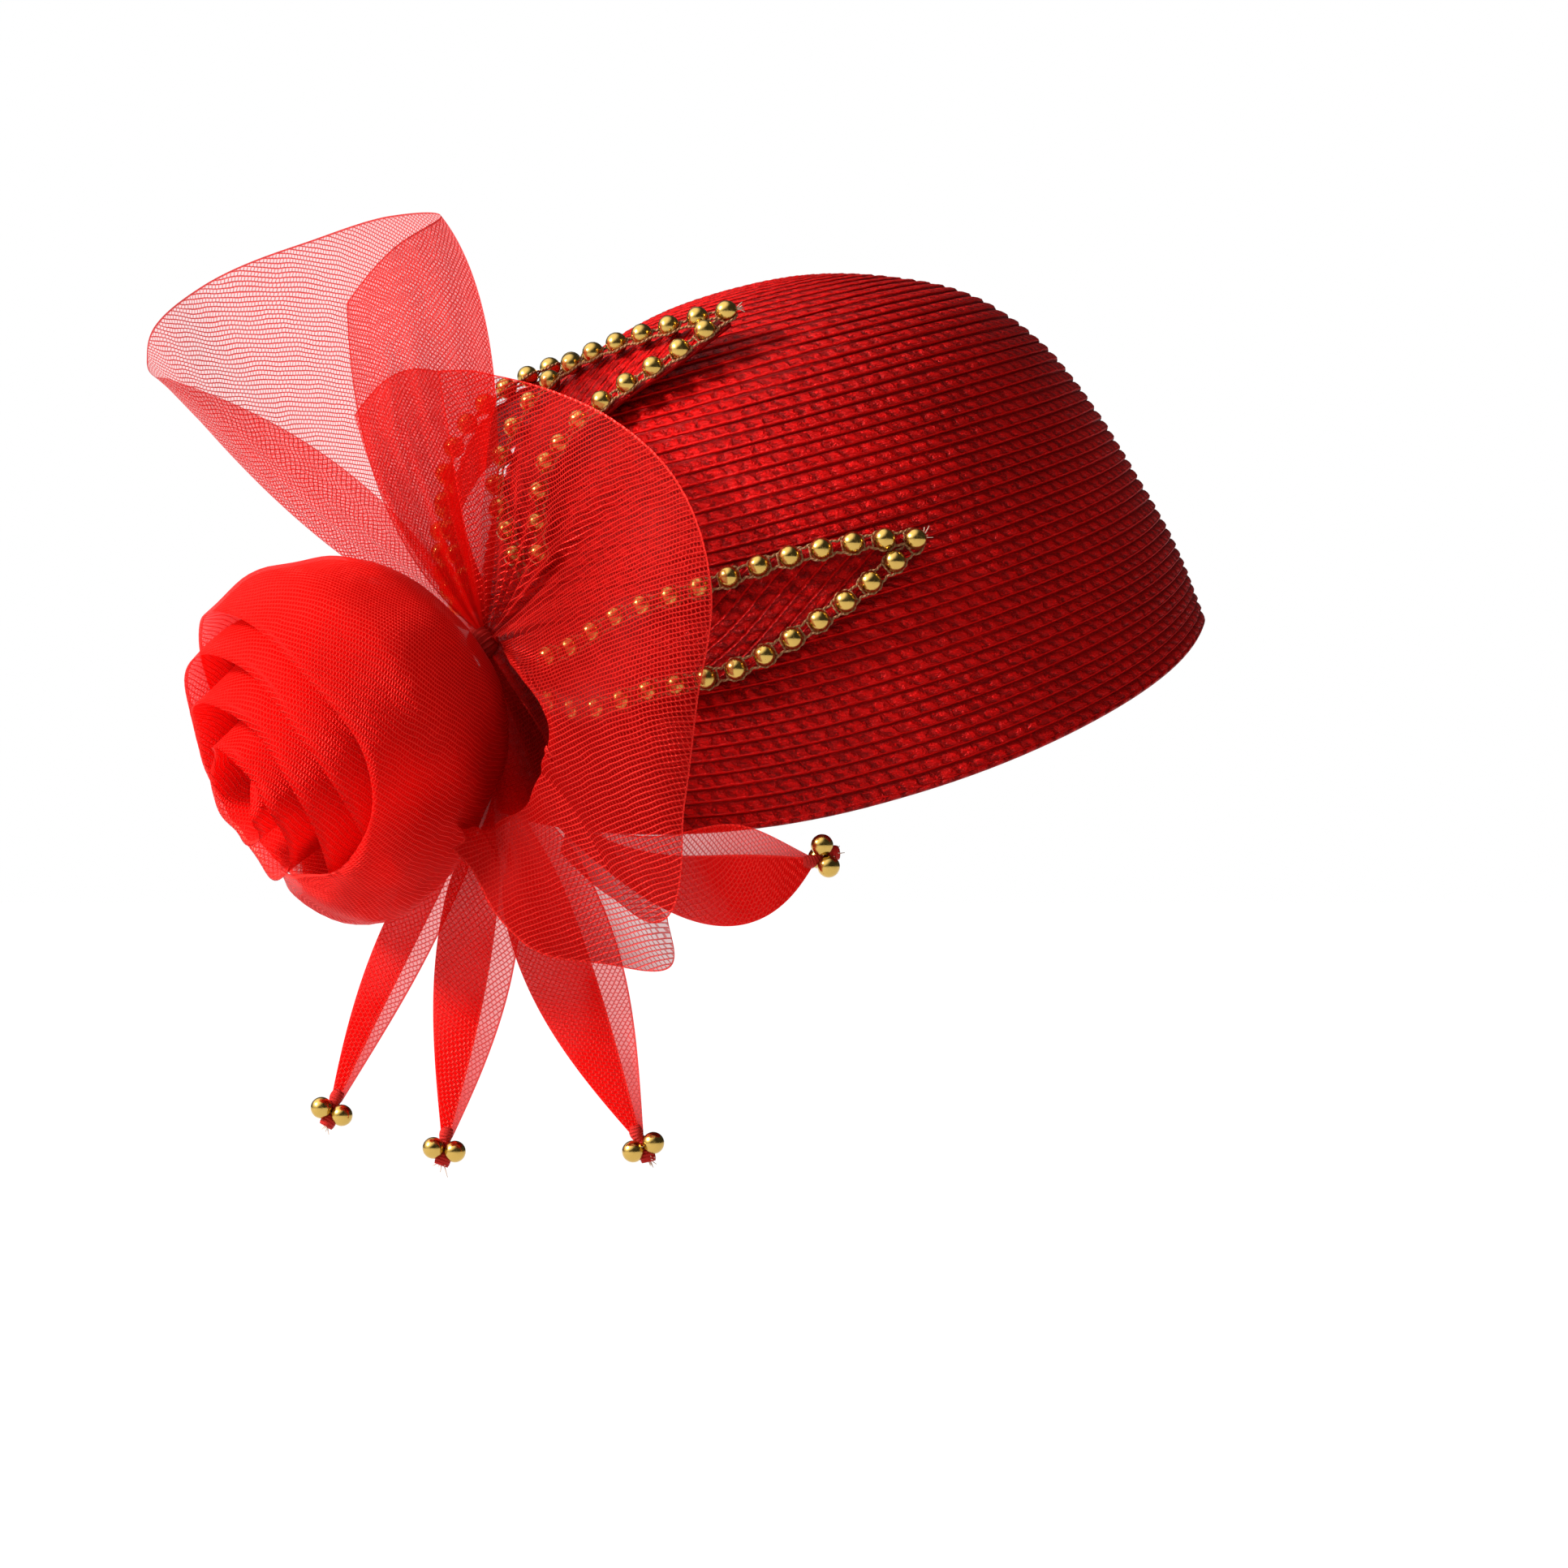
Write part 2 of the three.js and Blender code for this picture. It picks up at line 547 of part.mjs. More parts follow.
// Centre line, sideways direction and face direction of a petal. It lies flat on the crown at its seat
// and turns its face to the left on the way down.
function petalFrame(row, level) {
  const seat = leaned(aboveCrown(PETAL_SEAT_RUN, row.seatTurn, row.lift));
  const seatNormal = leaned(crownSlopes(PETAL_SEAT_RUN, row.seatTurn).normal);
  const tip = new THREE.Vector3(row.tipX, row.tipY, row.tipZ);
  const chord = tip.clone().sub(seat);
  const across = new THREE.Vector3(-chord.z, 0, chord.x).normalize();
  const pull = seat.clone().lerp(tip, 0.5)
    .addScaledVector(across, -2 * row.bow).addScaledVector(LEFT, 2 * row.bellyOut);
  const point = seat.clone().multiplyScalar((1 - level) ** 2)
    .addScaledVector(pull, 2 * level * (1 - level)).addScaledVector(tip, level ** 2);
  const tangent = pull.clone().sub(seat).multiplyScalar(1 - level)
    .addScaledVector(tip.clone().sub(pull), level).normalize();
  const facing = seatNormal.lerp(LEFT, THREE.MathUtils.smoothstep(level, 0, PETAL_UNTWIST));
  const sideways = tangent.clone().cross(facing).normalize();
  return { point, tangent, sideways, face: sideways.clone().cross(tangent).normalize() };
}

// The sheet is folded along its front or lower edge: a wide back ply and a narrower front ply.
function petalGeometry(row) {
  const grid = [];
  for (let station = 0; station <= PETAL_STATIONS; station += 1) {
    const level = station / PETAL_STATIONS;
    const { point, sideways, face } = petalFrame(row, level);
    const ends = PETAL_ROOT_WIDTH + (PETAL_TIP_WIDTH - PETAL_ROOT_WIDTH) * level;
    const halfWidth = (ends + (row.width - ends) * Math.sin(Math.PI * level ** row.widest)) / 2;
    grid.push(PETAL_SECTION.map(({ across, ply }) => point.clone()
      .addScaledVector(sideways, across * halfWidth)
      .addScaledVector(face, (ply * PETAL_PLY_SPACE) / 2)));
  }
  return thicken(grid, CRIN_WALL);
}

function ball(radius, sides, belts) {
  const sphere = new THREE.SphereGeometry(radius, sides, belts);
  sphere.deleteAttribute('normal');
  sphere.deleteAttribute('uv');
  return mergeVertices(sphere);
}

// Beads round the bound end of a petal
function beadedTipGeometry(row) {
  const { point, tangent, sideways, face } = petalFrame(row, 1);
  const start = point.clone().addScaledVector(tangent, GAP);
  const knot = sweepRound(
    [start, start.clone().addScaledVector(tangent, TIP_KNOT.length)],
    [TIP_KNOT.radius, TIP_KNOT.endRadius],
    TIP_KNOT.sides,
  );
  const beads = [];
  for (let place = 0; place < TIP_BEAD.count; place += 1) {
    const angle = radians(TIP_BEAD.firstTurn + (360 * place) / TIP_BEAD.count);
    const centre = start.clone().addScaledVector(tangent, TIP_BEAD.radius + GAP)
      .addScaledVector(sideways, TIP_BEAD.ring * Math.cos(angle))
      .addScaledVector(face, TIP_BEAD.ring * Math.sin(angle));
    const bead = ball(TIP_BEAD.radius, TIP_BEAD.sides, TIP_BEAD.belts);
    beads.push(bead.translate(centre.x, centre.y, centre.z));
  }
  return fuse([knot, ...beads]);
}

function addPiece(group, name, geometry, material) {
  const mesh = new THREE.Mesh(geometry, material);
  mesh.name = name;
  group.add(mesh);
}

const hat = new THREE.Group();

const crownGroup = new THREE.Group();
crownGroup.rotation.y = radians(-CROWN_LEAN);
addPiece(crownGroup, 'crown', crownGeometry(), RED_STRAW);
for (const [letter, table] of Object.entries(LEAF_TABLES)) {
  addPiece(crownGroup, `leaf_${letter}`, leafGeometry(table), RED_STRAW);
  addPiece(crownGroup, `bead_string_${letter}`, beadStringGeometry(table), GOLD_BEAD);
}
hat.add(crownGroup);

const trimGroup = new THREE.Group();
trimGroup.position.copy(knobCentre);
addPiece(trimGroup, 'knob', ball(KNOB.radius, KNOB.sides, KNOB.belts), RED_CRIN);
addPiece(trimGroup, 'rose', roseGeometry(), RED_CRIN);
addPiece(trimGroup, 'loop', fanGeometry(LOOP_RIBS, FAN_STEPS.loop), RED_CRIN);
addPiece(trimGroup, 'inner_fold', fanGeometry(INNER_RIBS, FAN_STEPS.inner_fold), RED_CRIN);
addPiece(trimGroup, 'ruffle', fanGeometry(RUFFLE_RIBS, FAN_STEPS.ruffle), RED_CRIN);
addPiece(trimGroup, 'ruffle_tail', fanGeometry(TAIL_RIBS, FAN_STEPS.ruffle_tail), RED_CRIN);
hat.add(trimGroup);

PETAL_ROWS.forEach((row, index) => {
  addPiece(hat, `petal_${index + 1}`, petalGeometry(row), RED_CRIN);
  addPiece(hat, `beaded_tip_${index + 1}`, beadedTipGeometry(row), GOLD_BEAD);
});

export default hat;
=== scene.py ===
"""Church hat: the looks. A close red straw cloche with crinoline trim, built around the packed model.

Lengths in the tables are millimetres and angles are degrees, as in the part's own source. Every mesh is
made in metres. The front of the hat is -X, its left side is -Y and up is +Z.
"""

import math

import bpy
import numpy as np
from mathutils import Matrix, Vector


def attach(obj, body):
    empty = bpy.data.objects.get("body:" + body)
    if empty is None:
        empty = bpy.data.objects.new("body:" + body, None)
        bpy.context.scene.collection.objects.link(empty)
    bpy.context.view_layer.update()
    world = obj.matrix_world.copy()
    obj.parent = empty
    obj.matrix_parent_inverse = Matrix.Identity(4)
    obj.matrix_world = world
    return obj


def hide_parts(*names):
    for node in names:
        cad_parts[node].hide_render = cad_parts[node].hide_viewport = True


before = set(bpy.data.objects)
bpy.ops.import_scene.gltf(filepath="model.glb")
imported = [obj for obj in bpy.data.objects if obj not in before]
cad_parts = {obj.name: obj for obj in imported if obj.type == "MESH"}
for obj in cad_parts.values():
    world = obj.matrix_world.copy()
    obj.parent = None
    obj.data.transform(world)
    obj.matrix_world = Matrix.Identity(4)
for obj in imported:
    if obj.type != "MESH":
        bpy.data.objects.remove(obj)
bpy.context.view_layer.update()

bl_info = {
    "name": "Church hat",
    "version": (1, 0, 0),
    "blender": (4, 5, 0),
    "location": "View3D > Sidebar > Hat",
    "description": "Builds a red straw cloche with a crinoline rose, loop, ruffle, petals and beaded leaves",
    "category": "Add Mesh",
}

MM = 0.001
BODY = "root"
UP = np.array((0.0, 0.0, 1.0))
LEFT = np.array((0.0, -1.0, 0.0))

# Crown: a row of the table every RUN_STEP mm along the braid, from the tip to the rim.
CROWN_LEAN = 15.0
CROWN_HEIGHT = 140.0
CROWN_WALL = 2.0
SIDE_TURN = 270.0
RUN_STEP = 26.0
SIDE_DIP = 1.7
BACK_BROAD, BACK_TIGHT, BACK_SHARE = 2.2, 12, 0.75
# back, front, side, endDrop, sideDrop
CROWN_ROWS = np.array([
    (0.0, 0.0, 0.0, 0.0, 0.0),
    (25.9, 25.8, 25.8, 2.0, 2.0),
    (50.8, 50.2, 50.4, 9.4, 9.6),
    (73.8, 70.4, 70.8, 21.3, 23.8),
    (91.0, 86.7, 84.2, 40.7, 45.2),
    (101.9, 99.1, 91.1, 64.3, 72.2),
    (109.7, 107.0, 94.4, 89.3, 102.4),
    (116.2, 111.8, 96.8, 114.8, 133.7),
    (119.1, 115.0, 98.5, 140.0, 169.0),
])
RIM_RUN = RUN_STEP * (len(CROWN_ROWS) - 1)
# The crown's slopes are measured no nearer to its tip and its rim than this.
TIP_CLEAR, RIM_CLEAR = 0.3, 0.06
CROWN_SAMPLES = 400

# Section of one braid row: share of the row from its upper edge, and height above the row's foot in mm
ROW_SECTION = ((0.03, 0.0), (0.2, 0.55), (0.48, 0.9), (0.78, 1.0), (0.96, 0.5))
ROW_SINK, ROW_WAVER, ROW_RIPPLE, ROW_LUMP = 0.62, 0.16, 0.1, 0.07
INSIDE_ROW, EDGE_HALF, EDGE_DROP = 0.25, 1.25, 1.0

KNOB_RUN, KNOB_TURN, KNOB_RADIUS = 155.0, 206.0, 9.0
KNOB_LOOK_RADIUS, KNOB_PLEATS = 4.8, 17
GAP = 0.35
CRIN_WALL = 1.0
ROOT_REACH = KNOB_RADIUS + GAP + CRIN_WALL / 2
LEAF_WALL = 1.4
BEAD_PITCH = 9.8

# Leaves: run, turn, halfWidth, lift from root to tip
LEAF_TABLES = {
    "a": np.array([
        (166, 218, 5.0, 1.3), (167, 228, 10.0, 1.3), (162, 240, 12.5, 1.3), (160, 254, 13.5, 1.3),
        (156, 266, 11.5, 1.5), (153, 277, 7.0, 1.8), (151, 287, 1.0, 2.4),
    ]),
    "b": np.array([
        (136, 219, 4.3, 1.3), (120, 215.5, 8.5, 1.6), (103, 213, 15.0, 3.0), (88, 221, 14.0, 3.6),
        (81, 235, 10.0, 4.4), (77, 252, 5.8, 5.6), (73, 267, 1.0, 7.0),
    ]),
    "c": np.array([
        (144, 196, 4.3, 0.95), (128, 185, 8.0, 8.0), (112, 178, 11.0, 13.5), (96, 172, 12.0, 13.0),
        (82, 164, 11.0, 8.0), (70, 150, 8.0, 4.0), (62, 126, 1.0, 3.0),
    ]),
}
# How far each leaf's rows of braid lean from its own length
LEAF_SLOPES = {"a": 24.0, "b": 38.0, "c": 34.0}
LEAF_EDGE, LEAF_RELIEF, LEAF_FACE_SINK = 1.1, 0.8, 0.5

# Rose: rimRadius, rimHeight, baseRadius for each turn from the outermost in
ROSE_AXIS = np.array((-0.752, -0.342, -0.573))
ROSE_TURNS = np.array([
    (59, 64, 8.5), (51, 73, 7.4), (42, 84, 6.3), (29, 91, 5.2), (16, 95, 4.1),
])
ROSE_START, ROSE_TILT, ROSE_RISE, ROSE_BULGE = 80.0, 3.0, 4.0, 5.0
# The rims swell a little past the solid's and curl in, and soft folds run along the turns.
ROSE_SWELL, ROSE_CURL, ROSE_FOLD = 2.2, 1.6, 1.3
ROSE_GATHER, ROSE_GATHERS = 0.7, 9
# Waves of the rims: height, how many to a turn, and start
ROSE_WAVES = ((1.0, 2.37, 0.6), (0.6, 4.1, 0.0), (0.3, 7.3, 0.0))
# The strip narrows over this part of its last turn, to this share of its width.
ROSE_END, ROSE_END_WIDTH = 0.5, 0.7
# One more turn than the solid has closes the heart into a bud.
ROSE_BUD = (5.0, 93.0, 3.4)
# At its low side the outermost turn reaches on past its rim and closes over the others: how far in and
# forwards, the share that this adds to its width, the angle where it is widest, and its end in turns.
ROSE_COVER_IN, ROSE_COVER_ON, ROSE_COVER_SHARE = 34.0, 25.0, 0.4
ROSE_COVER_TURN, ROSE_COVER_END, ROSE_COVER_RIPPLES = 190.0, 0.6, 13
ROSE_STEPS, ROSE_LEVELS, ROSE_INNER_LEVELS, ROSE_PLY_SPACE, ROSE_LIP = 84, 36, 24, 1.1, 0.8

# Fanned sheets: turn, reach, bow, bend, midOut, rimOut for each rib from the knob to the free edge
LOOP_RIBS = np.array([
    (-21, 110, -12, 0.4, 26, 38), (-12, 122, -3, 0.55, 29, 38), (-5, 131, 11, 0.75, 21, 26),
    (-12, 136, 6, 0.7, 2, 2), (-24, 139, 3, 0.6, -20, -20), (-38, 145, 0, 0.5, -30, -27),
    (-46, 145, -8, 0.5, -28, -20), (-50, 138, -7, 0.5, -18, -8), (-51, 132, 2, 0.5, -4, 4),
    (-50, 127, 13, 0.5, 8, 12),
])
INNER_RIBS = np.array([
    (-29, 80, -5, 0.5, 13, 16), (-20, 86, -2, 0.5, 11, 15), (-14, 87, -1, 0.5, 10, 14),
    (-9, 85, 0, 0.5, 9, 12),
])
RUFFLE_RIBS = np.array([
    (-9, 85, 0, 0.5, 10, 12), (-2, 84, 4, 0.5, 17, 14), (5, 82, 7.5, 0.5, 24, 18),
    (18, 80, 5, 0.5, 29, 28), (33, 79, 4, 0.5, 36, 44), (52, 78, 2, 0.5, 42, 57),
    (78, 74, 0, 0.5, 57, 69), (105, 71, -1, 0.5, 71, 77), (128, 82, 0, 0.5, 78, 80),
    (145, 103, -2, 0.5, 74, 74), (152, 88, -6, 0.5, 63, 64), (158, 70, -10, 0.5, 48, 50),
])
TAIL_RIBS = np.array([
    (186, 64, -7, 0.5, 20, 50), (180, 71, -9, 0.5, 20, 54), (175, 84, -8, 0.5, 22, 60),
    (168, 97, -5, 0.5, 27, 64), (158, 106, -1, 0.5, 32, 66), (149, 116, 3, 0.5, 38, 66),
    (145, 103, 3, 0.5, 38, 62),
])
ROOT_TURN_AWAY = 0.6
SHEET_REACH = 3.0
PLEAT_RATE, PLEAT_DEPTH = 2.7, 5.0
# The weave of a fanned sheet is true at this share of the way to its rim.
FAN_TRUE = 0.65

# Fold line where the lower ruffle and its tail turn back to the knob, from the knob: turn, reach, out
LIP = np.array([
    (74, 2, 2), (84, 4, 9), (96, 6, 18), (112, 8, 30), (122, 13, 46), (129, 20, 60), (134, 28, 67),
    (140, 35, 69), (148, 42, 67), (161, 52, 59), (177, 58, 50), (190, 56, 42), (206, 46, 30),
])
LIP_START, LIP_BLEND, RETURN_SHARE, RETURN_CLOSE, RETURN_FADE = 74.0, 20.0, 0.4, 0.8, 0.04
LIP_DEEP, LIP_BEHIND, LIP_SINK, LIP_BULGE = 3, 5, 0.5, 4

# Petals: seatTurn, lift, tipX, tipY, tipZ, bow, bellyOut, width, widest
PETAL_ROWS = (
    (187, 1.8, -159, -45, -121, 2, 4, 17, 0.85),
    (195, 1.8, -124, -55, -132, -1, 4, 25, 0.85),
    (203, 2.4, -64, -75, -130, 1, 8, 31, 0.85),
    (211, 2.2, -11, -95, -45.5, 13, 20, 31, 2.2),
)
PETAL_SEAT_RUN = 199.0
PETAL_UNTWIST = 0.35
PETAL_ROOT_WIDTH, PETAL_TIP_WIDTH, PETAL_PLY_SPACE = 7.0, 3.4, 2.4
# across, ply round the fold
PETAL_SECTION = np.array([
    (-1, -1), (0, -1.15), (0.85, -0.9), (1, 0), (0.85, 0.9), (0.1, 1.15), (-0.4, 1),
])
# Width and length in metres and area in square metres of each petal laid flat
PETAL_FLATS = ((0.031, 0.118, 0.0028), (0.044, 0.118, 0.0039), (0.054, 0.126, 0.0049), (0.054, 0.125, 0.0036))
TIP_BEAD_RADIUS, TIP_BEAD_RING, TIP_BEAD_COUNT, TIP_BEAD_TURN = 3.4, 3.9, 3, 30.0
TIP_KNOT_LENGTH, TIP_KNOT_START = 12.0, 3.4

# Tape: two cords beside the beads, tied across on both sides of each gap
TAPE_HALF, TAPE_SWELL, TAPE_DROP, TAPE_CORD, TAPE_TWINE, TAPE_TIE = 1.9, 1.45, 0.9, 0.42, 0.22, 1.5
CROWN_MIDDLE = (-10.0, 0.0, 10.0)
FRAY_SPREAD, FRAY_CURL, FRAY_ROOT, FRAY_END = 0.42, 0.35, 0.26, 0.12
FRAY_DARK, FRAY_LIGHT = (0.42, 0.26, 0.18, 1.0), (0.72, 0.54, 0.42, 1.0)

# Crinoline: half widths of its threads in mm, how much of the light the haze between them and the
# threads themselves stop, and the angles from the strip's length to the ways that cross its heavy and its
# fine threads.
HEAVY_HALF, FINE_HALF = 0.2, 0.15
HAZE_OPEN, HAZE_CLOSE, THREAD_COVER = 0.22, 0.985, 0.94
BIAS, ROSE_BIAS = (48, -42), (62, -28)
# Ways that cross the threads of the ruffle and its tail, and how coarse the threads are there, on the
# rose and on the petals
THREAD_RISE, THREAD_RUN = np.array((-0.26, 0.3, 0.96)), np.array((0.8, -0.45, 0.5))
LIPPED_COARSE, ROSE_COARSE, PETAL_COARSE = (1.2, 1.05), (1.1, 1.05), (1.1, 1.3)
# How far painted light scales the colours of the haze and of the threads up or down for how the piece is
# lit, and how much painted shade darkens the cloth inside: of the loop, of the rose and petals, and of the
# sheets that lie over the crown.
BACKLIT_PAINTED_LIGHT, BRIGHTENED_PAINTED_LIGHT, OVER_CROWN_PAINTED_SHADE = (1.8, 0.6, 0.0), (1.4, 1.0, 0.0), (0.62, 1.0, 0.5)
# The weave is drawn together where the ribs stand closer than this share of their spread at the rim.
GATHER_FROM = 0.5
NO_HEM = 99.0

# The camera stands level, 1.8 m to the hat's left. The picture is square, and these are the place on its
# middle line and the width that it takes in at the crown's middle plane.
CAMERA_SPOT = (-19.24, -1800.0, -22.36)
VIEW_WIDTH = 502.3
SENSOR = 36.0

# Light from all round: where most of it comes from, and the ramps from how far a direction faces that way
# to how bright it is there, as light and as a reflection
SKY_WAY = (-0.6, -0.15, 0.78)
SKY_RAMP, SHINE_RAMP = (0.0, 0.95, 0.0, 1.2), (0.45, 0.92, 0.05, 1.9)
WHITE = (1.0, 1.0, 1.0, 1.0)
FLOOR_HALF, FLOOR_GLOW = 14.0, 0.97


def length(name, description, size):
    """A size that a user may change, given in mm."""
    return bpy.props.FloatProperty(name=name, description=description, default=size * MM, unit="LENGTH")


def colour(name, description, *tone):
    """A linear colour that a user may change."""
    return bpy.props.FloatVectorProperty(
        name=name, description=description, default=tone, subtype="COLOR", size=3, min=0, max=1)


class HatSizes(bpy.types.PropertyGroup):
    """Sizes that a maker would change without touching the form."""

    row_pitch: length("Braid row", "Distance from one braid row to the next", 4.25)
    knot_pitch: length("Braid knot", "Distance from one crossing of the braid to the next", 5.2)
    bead_radius: length("Bead radius", "Radius of the beads on the leaves", 3.45)
    thread_pitch: length("Heavy thread", "Distance between the heavy threads of the crinoline", 1.35)
    fine_pitch: length("Fine thread", "Distance between the fine threads of the crinoline", 1.0)
    hem_width: length("Selvedge", "Width of the close woven edge of the crinoline", 0.8)
    floor_drop: length("Floor", "How far the floor lies below the head opening", 360.0)


class HatColours(bpy.types.PropertyGroup):
    """Colours of the straw, the crinoline, the beads and the stage, linear."""

    straw: colour("Straw", "Colour of the straw braid", 0.46, 0.0008, 0.0005)
    leaf_straw: colour("Leaf straw", "Colour of the straw of the leaves", 0.44, 0.0008, 0.0006)
    heavy_thread: colour("Heavy thread", "Colour of the heavy crinoline threads", 1.0, 0.032, 0.024)
    fine_thread: colour("Fine thread", "Colour of the fine crinoline threads", 1.0, 0.032, 0.024)
    haze: colour("Haze", "Colour of the fine fibres between the crinoline threads", 0.5, 0.0004, 0.0004)
    glow: colour("Glow", "Colour of the light that passes through the crinoline threads", 1.0, 0.002, 0.001)
    gold: colour("Gold", "Colour of the plated beads", 0.56, 0.36, 0.09)
    tape: colour("Tape", "Colour of the tape that carries the beads", 0.26, 0.11, 0.045)
    floor: colour("Floor", "Colour of the floor", 0.13, 0.13, 0.13)


def sizes():
    return bpy.context.scene.hat_sizes


def colours():
    return bpy.context.scene.hat_colours


# Curves and surfaces that the part's own source also has


def read_table(table, position):
    """Rows of a table at fractional positions, as a Catmull-Rom curve through them."""
    position = np.asarray(position, float)
    last = len(table) - 1
    row = np.minimum(np.floor(position).astype(int), last - 1)
    t = (position - row)[..., None]
    before = table[np.maximum(row - 1, 0)]
    start = table[row]
    end = table[row + 1]
    after = table[np.minimum(row + 2, last)]
    slope_start = (end - before) / np.where(row == 0, 1, 2)[..., None]
    slope_end = (after - start) / np.where(row == last - 1, 1, 2)[..., None]
    t2, t3 = t * t, t * t * t
    return ((2 * t3 - 3 * t2 + 1) * start + (t3 - 2 * t2 + t) * slope_start
            + (3 * t2 - 2 * t3) * end + (t3 - t2) * slope_end)


def unit(vectors):
    return vectors / np.maximum(np.linalg.norm(vectors, axis=-1, keepdims=True), 1e-12)


def eased(share):
    """The share, clipped to 0 and 1, with a soft start and end."""
    share = np.clip(share, 0, 1)
    return share * share * (3 - 2 * share)


def crown_face(run, turn):
    """Points of the crown's outer face in the crown's own upright frame."""
    run, turn = np.broadcast_arrays(np.asarray(run, float), np.asarray(turn, float))
    row = read_table(CROWN_ROWS, np.clip(run, 0, RIM_RUN) / RUN_STEP)
    angle = np.radians(turn)
    length = np.where(np.cos(angle) > 0, row[..., 0], row[..., 1])
    back = np.maximum(np.cos(angle), 0)
    back_dip = 1 - BACK_SHARE * back ** BACK_BROAD - (1 - BACK_SHARE) * back ** BACK_TIGHT
    dip = np.where(np.cos(angle) > 0, back_dip, np.abs(np.sin(angle)) ** SIDE_DIP)
    return np.stack((
        length * np.cos(angle),
        row[..., 2] * np.sin(angle),
        CROWN_HEIGHT - row[..., 3] - (row[..., 4] - row[..., 3]) * dip,
    ), axis=-1)


def crown_slopes(run, turn, step=0.05):
    """How the outer face goes on down its run and around its turn, and its normal."""
    down = (crown_face(run + step, turn) - crown_face(run - step, turn)) / (2 * step)
    around = (crown_face(run, turn + step) - crown_face(run, turn - step)) / (2 * step)
    return down, around, unit(np.cross(down, around))


def above_crown(run, turn, lift):
    normal = crown_slopes(np.clip(run, TIP_CLEAR, RIM_RUN - RIM_CLEAR), turn)[2]
    return crown_face(run, turn) + normal * np.asarray(lift, float)[..., None]


def leaned(points):
    """The same points in the hat's frame, with the crown leaning forward."""
    c, s = math.cos(math.radians(CROWN_LEAN)), math.sin(math.radians(CROWN_LEAN))
    turned = np.empty_like(points)
    turned[..., 0] = c * points[..., 0] - s * points[..., 2]
    turned[..., 1] = points[..., 1]
    turned[..., 2] = s * points[..., 0] + c * points[..., 2]
    return turned


def leaf_points(table, position, side, lift, step=0.02):
    """Points on a leaf: side is -1 at its lower edge and 1 at its upper edge."""
    here = read_table(table, position)
    ahead = read_table(table, np.minimum(position + step, len(table) - 1))
    behind = read_table(table, np.maximum(position - step, 0))
    down, around, _ = crown_slopes(here[..., 0], here[..., 1])
    along = unit(down * (ahead - behind)[..., 0:1] + around * (ahead - behind)[..., 1:2])
    width = side * here[..., 2]
    down_length = np.linalg.norm(down, axis=-1)
    around_length = np.linalg.norm(around, axis=-1)
    run_shift = -(along * around).sum(-1) / around_length / down_length * width
    turn_shift = (along * down).sum(-1) / down_length / around_length * width
    return above_crown(here[..., 0] + run_shift, here[..., 1] + turn_shift, here[..., 3] + lift)


KNOB_CENTRE = leaned(above_crown(KNOB_RUN, KNOB_TURN, KNOB_RADIUS + GAP))


def bezier(level, *points):
    """Points of a curve through two ends with one or two controls between them."""
    t = level
    if len(points) == 3:
        a, b, c = points
        return a * (1 - t) ** 2 + b * 2 * t * (1 - t) + c * t ** 2
    a, b, c, d = points
    return a * (1 - t) ** 3 + b * 3 * t * (1 - t) ** 2 + c * 3 * t ** 2 * (1 - t) + d * t ** 3


def rib_ways(turn):
    """The way that a rib points, and the way across it in the plane that the hat's side faces."""
    angle = np.radians(turn)
    zero = np.zeros_like(angle)
    return (np.concatenate((np.sin(angle), zero, np.cos(angle)), axis=-1),
            np.concatenate((np.cos(angle), zero, -np.sin(angle)), axis=-1))


def rib_points(rib, level):
    """Points of ribs at levels from 0, at the knob, to 1, at the free edge, relative to the knob."""
    turn, reach, bow, bend, mid_out, rim_out = (rib[..., i:i + 1] for i in range(6))
    outward, sideways = rib_ways(turn)
    rim = outward * reach + LEFT * rim_out
    pull = outward * reach * bend + sideways * 2 * bow + LEFT * (2 * mid_out - rim_out / 2)
    root = unit(unit(pull) - ROSE_AXIS * ROOT_TURN_AWAY) * SHEET_REACH
    return bezier(level[..., None], root, pull, rim)


def lipped_points(rib, level):
    """As rib_points, but past LIP_START the sheet comes forward out of the depth and turns over the lip."""
    plain = rib_points(rib, level)
    turn, reach, bow, _, mid_out, rim_out = (rib[..., i:i + 1] for i in range(6))
    outward, sideways = rib_ways(turn)
    lip_reach = np.interp(turn, LIP[:, 0], LIP[:, 1])
    lip_out = np.interp(turn, LIP[:, 0], LIP[:, 2])
    root = outward * SHEET_REACH
    lip = outward * lip_reach + LEFT * lip_out
    deep = outward * (lip_reach + LIP_DEEP) + LEFT * LIP_DEEP
    behind = lip + outward * LIP_BEHIND - LEFT * lip_out * LIP_SINK
    rim = outward * reach + LEFT * rim_out
    middle = np.maximum(mid_out, (lip_out + rim_out) / 2 + LIP_BULGE)
    pull = (outward * (lip_reach + reach) / 2 + sideways * bow
            + LEFT * (2 * middle - (lip_out + rim_out) / 2))
    inner = np.clip(level / RETURN_SHARE, 0, 1)[..., None]
    outer = np.clip((level - RETURN_SHARE) / (1 - RETURN_SHARE), 0, 1)[..., None]
    folded = np.where(level[..., None] < RETURN_SHARE, bezier(inner, root, deep, behind, lip),
                      bezier(outer, lip, pull, rim))
    share = eased((turn - LIP_START) / LIP_BLEND)
    return plain * (1 - share) + folded * share


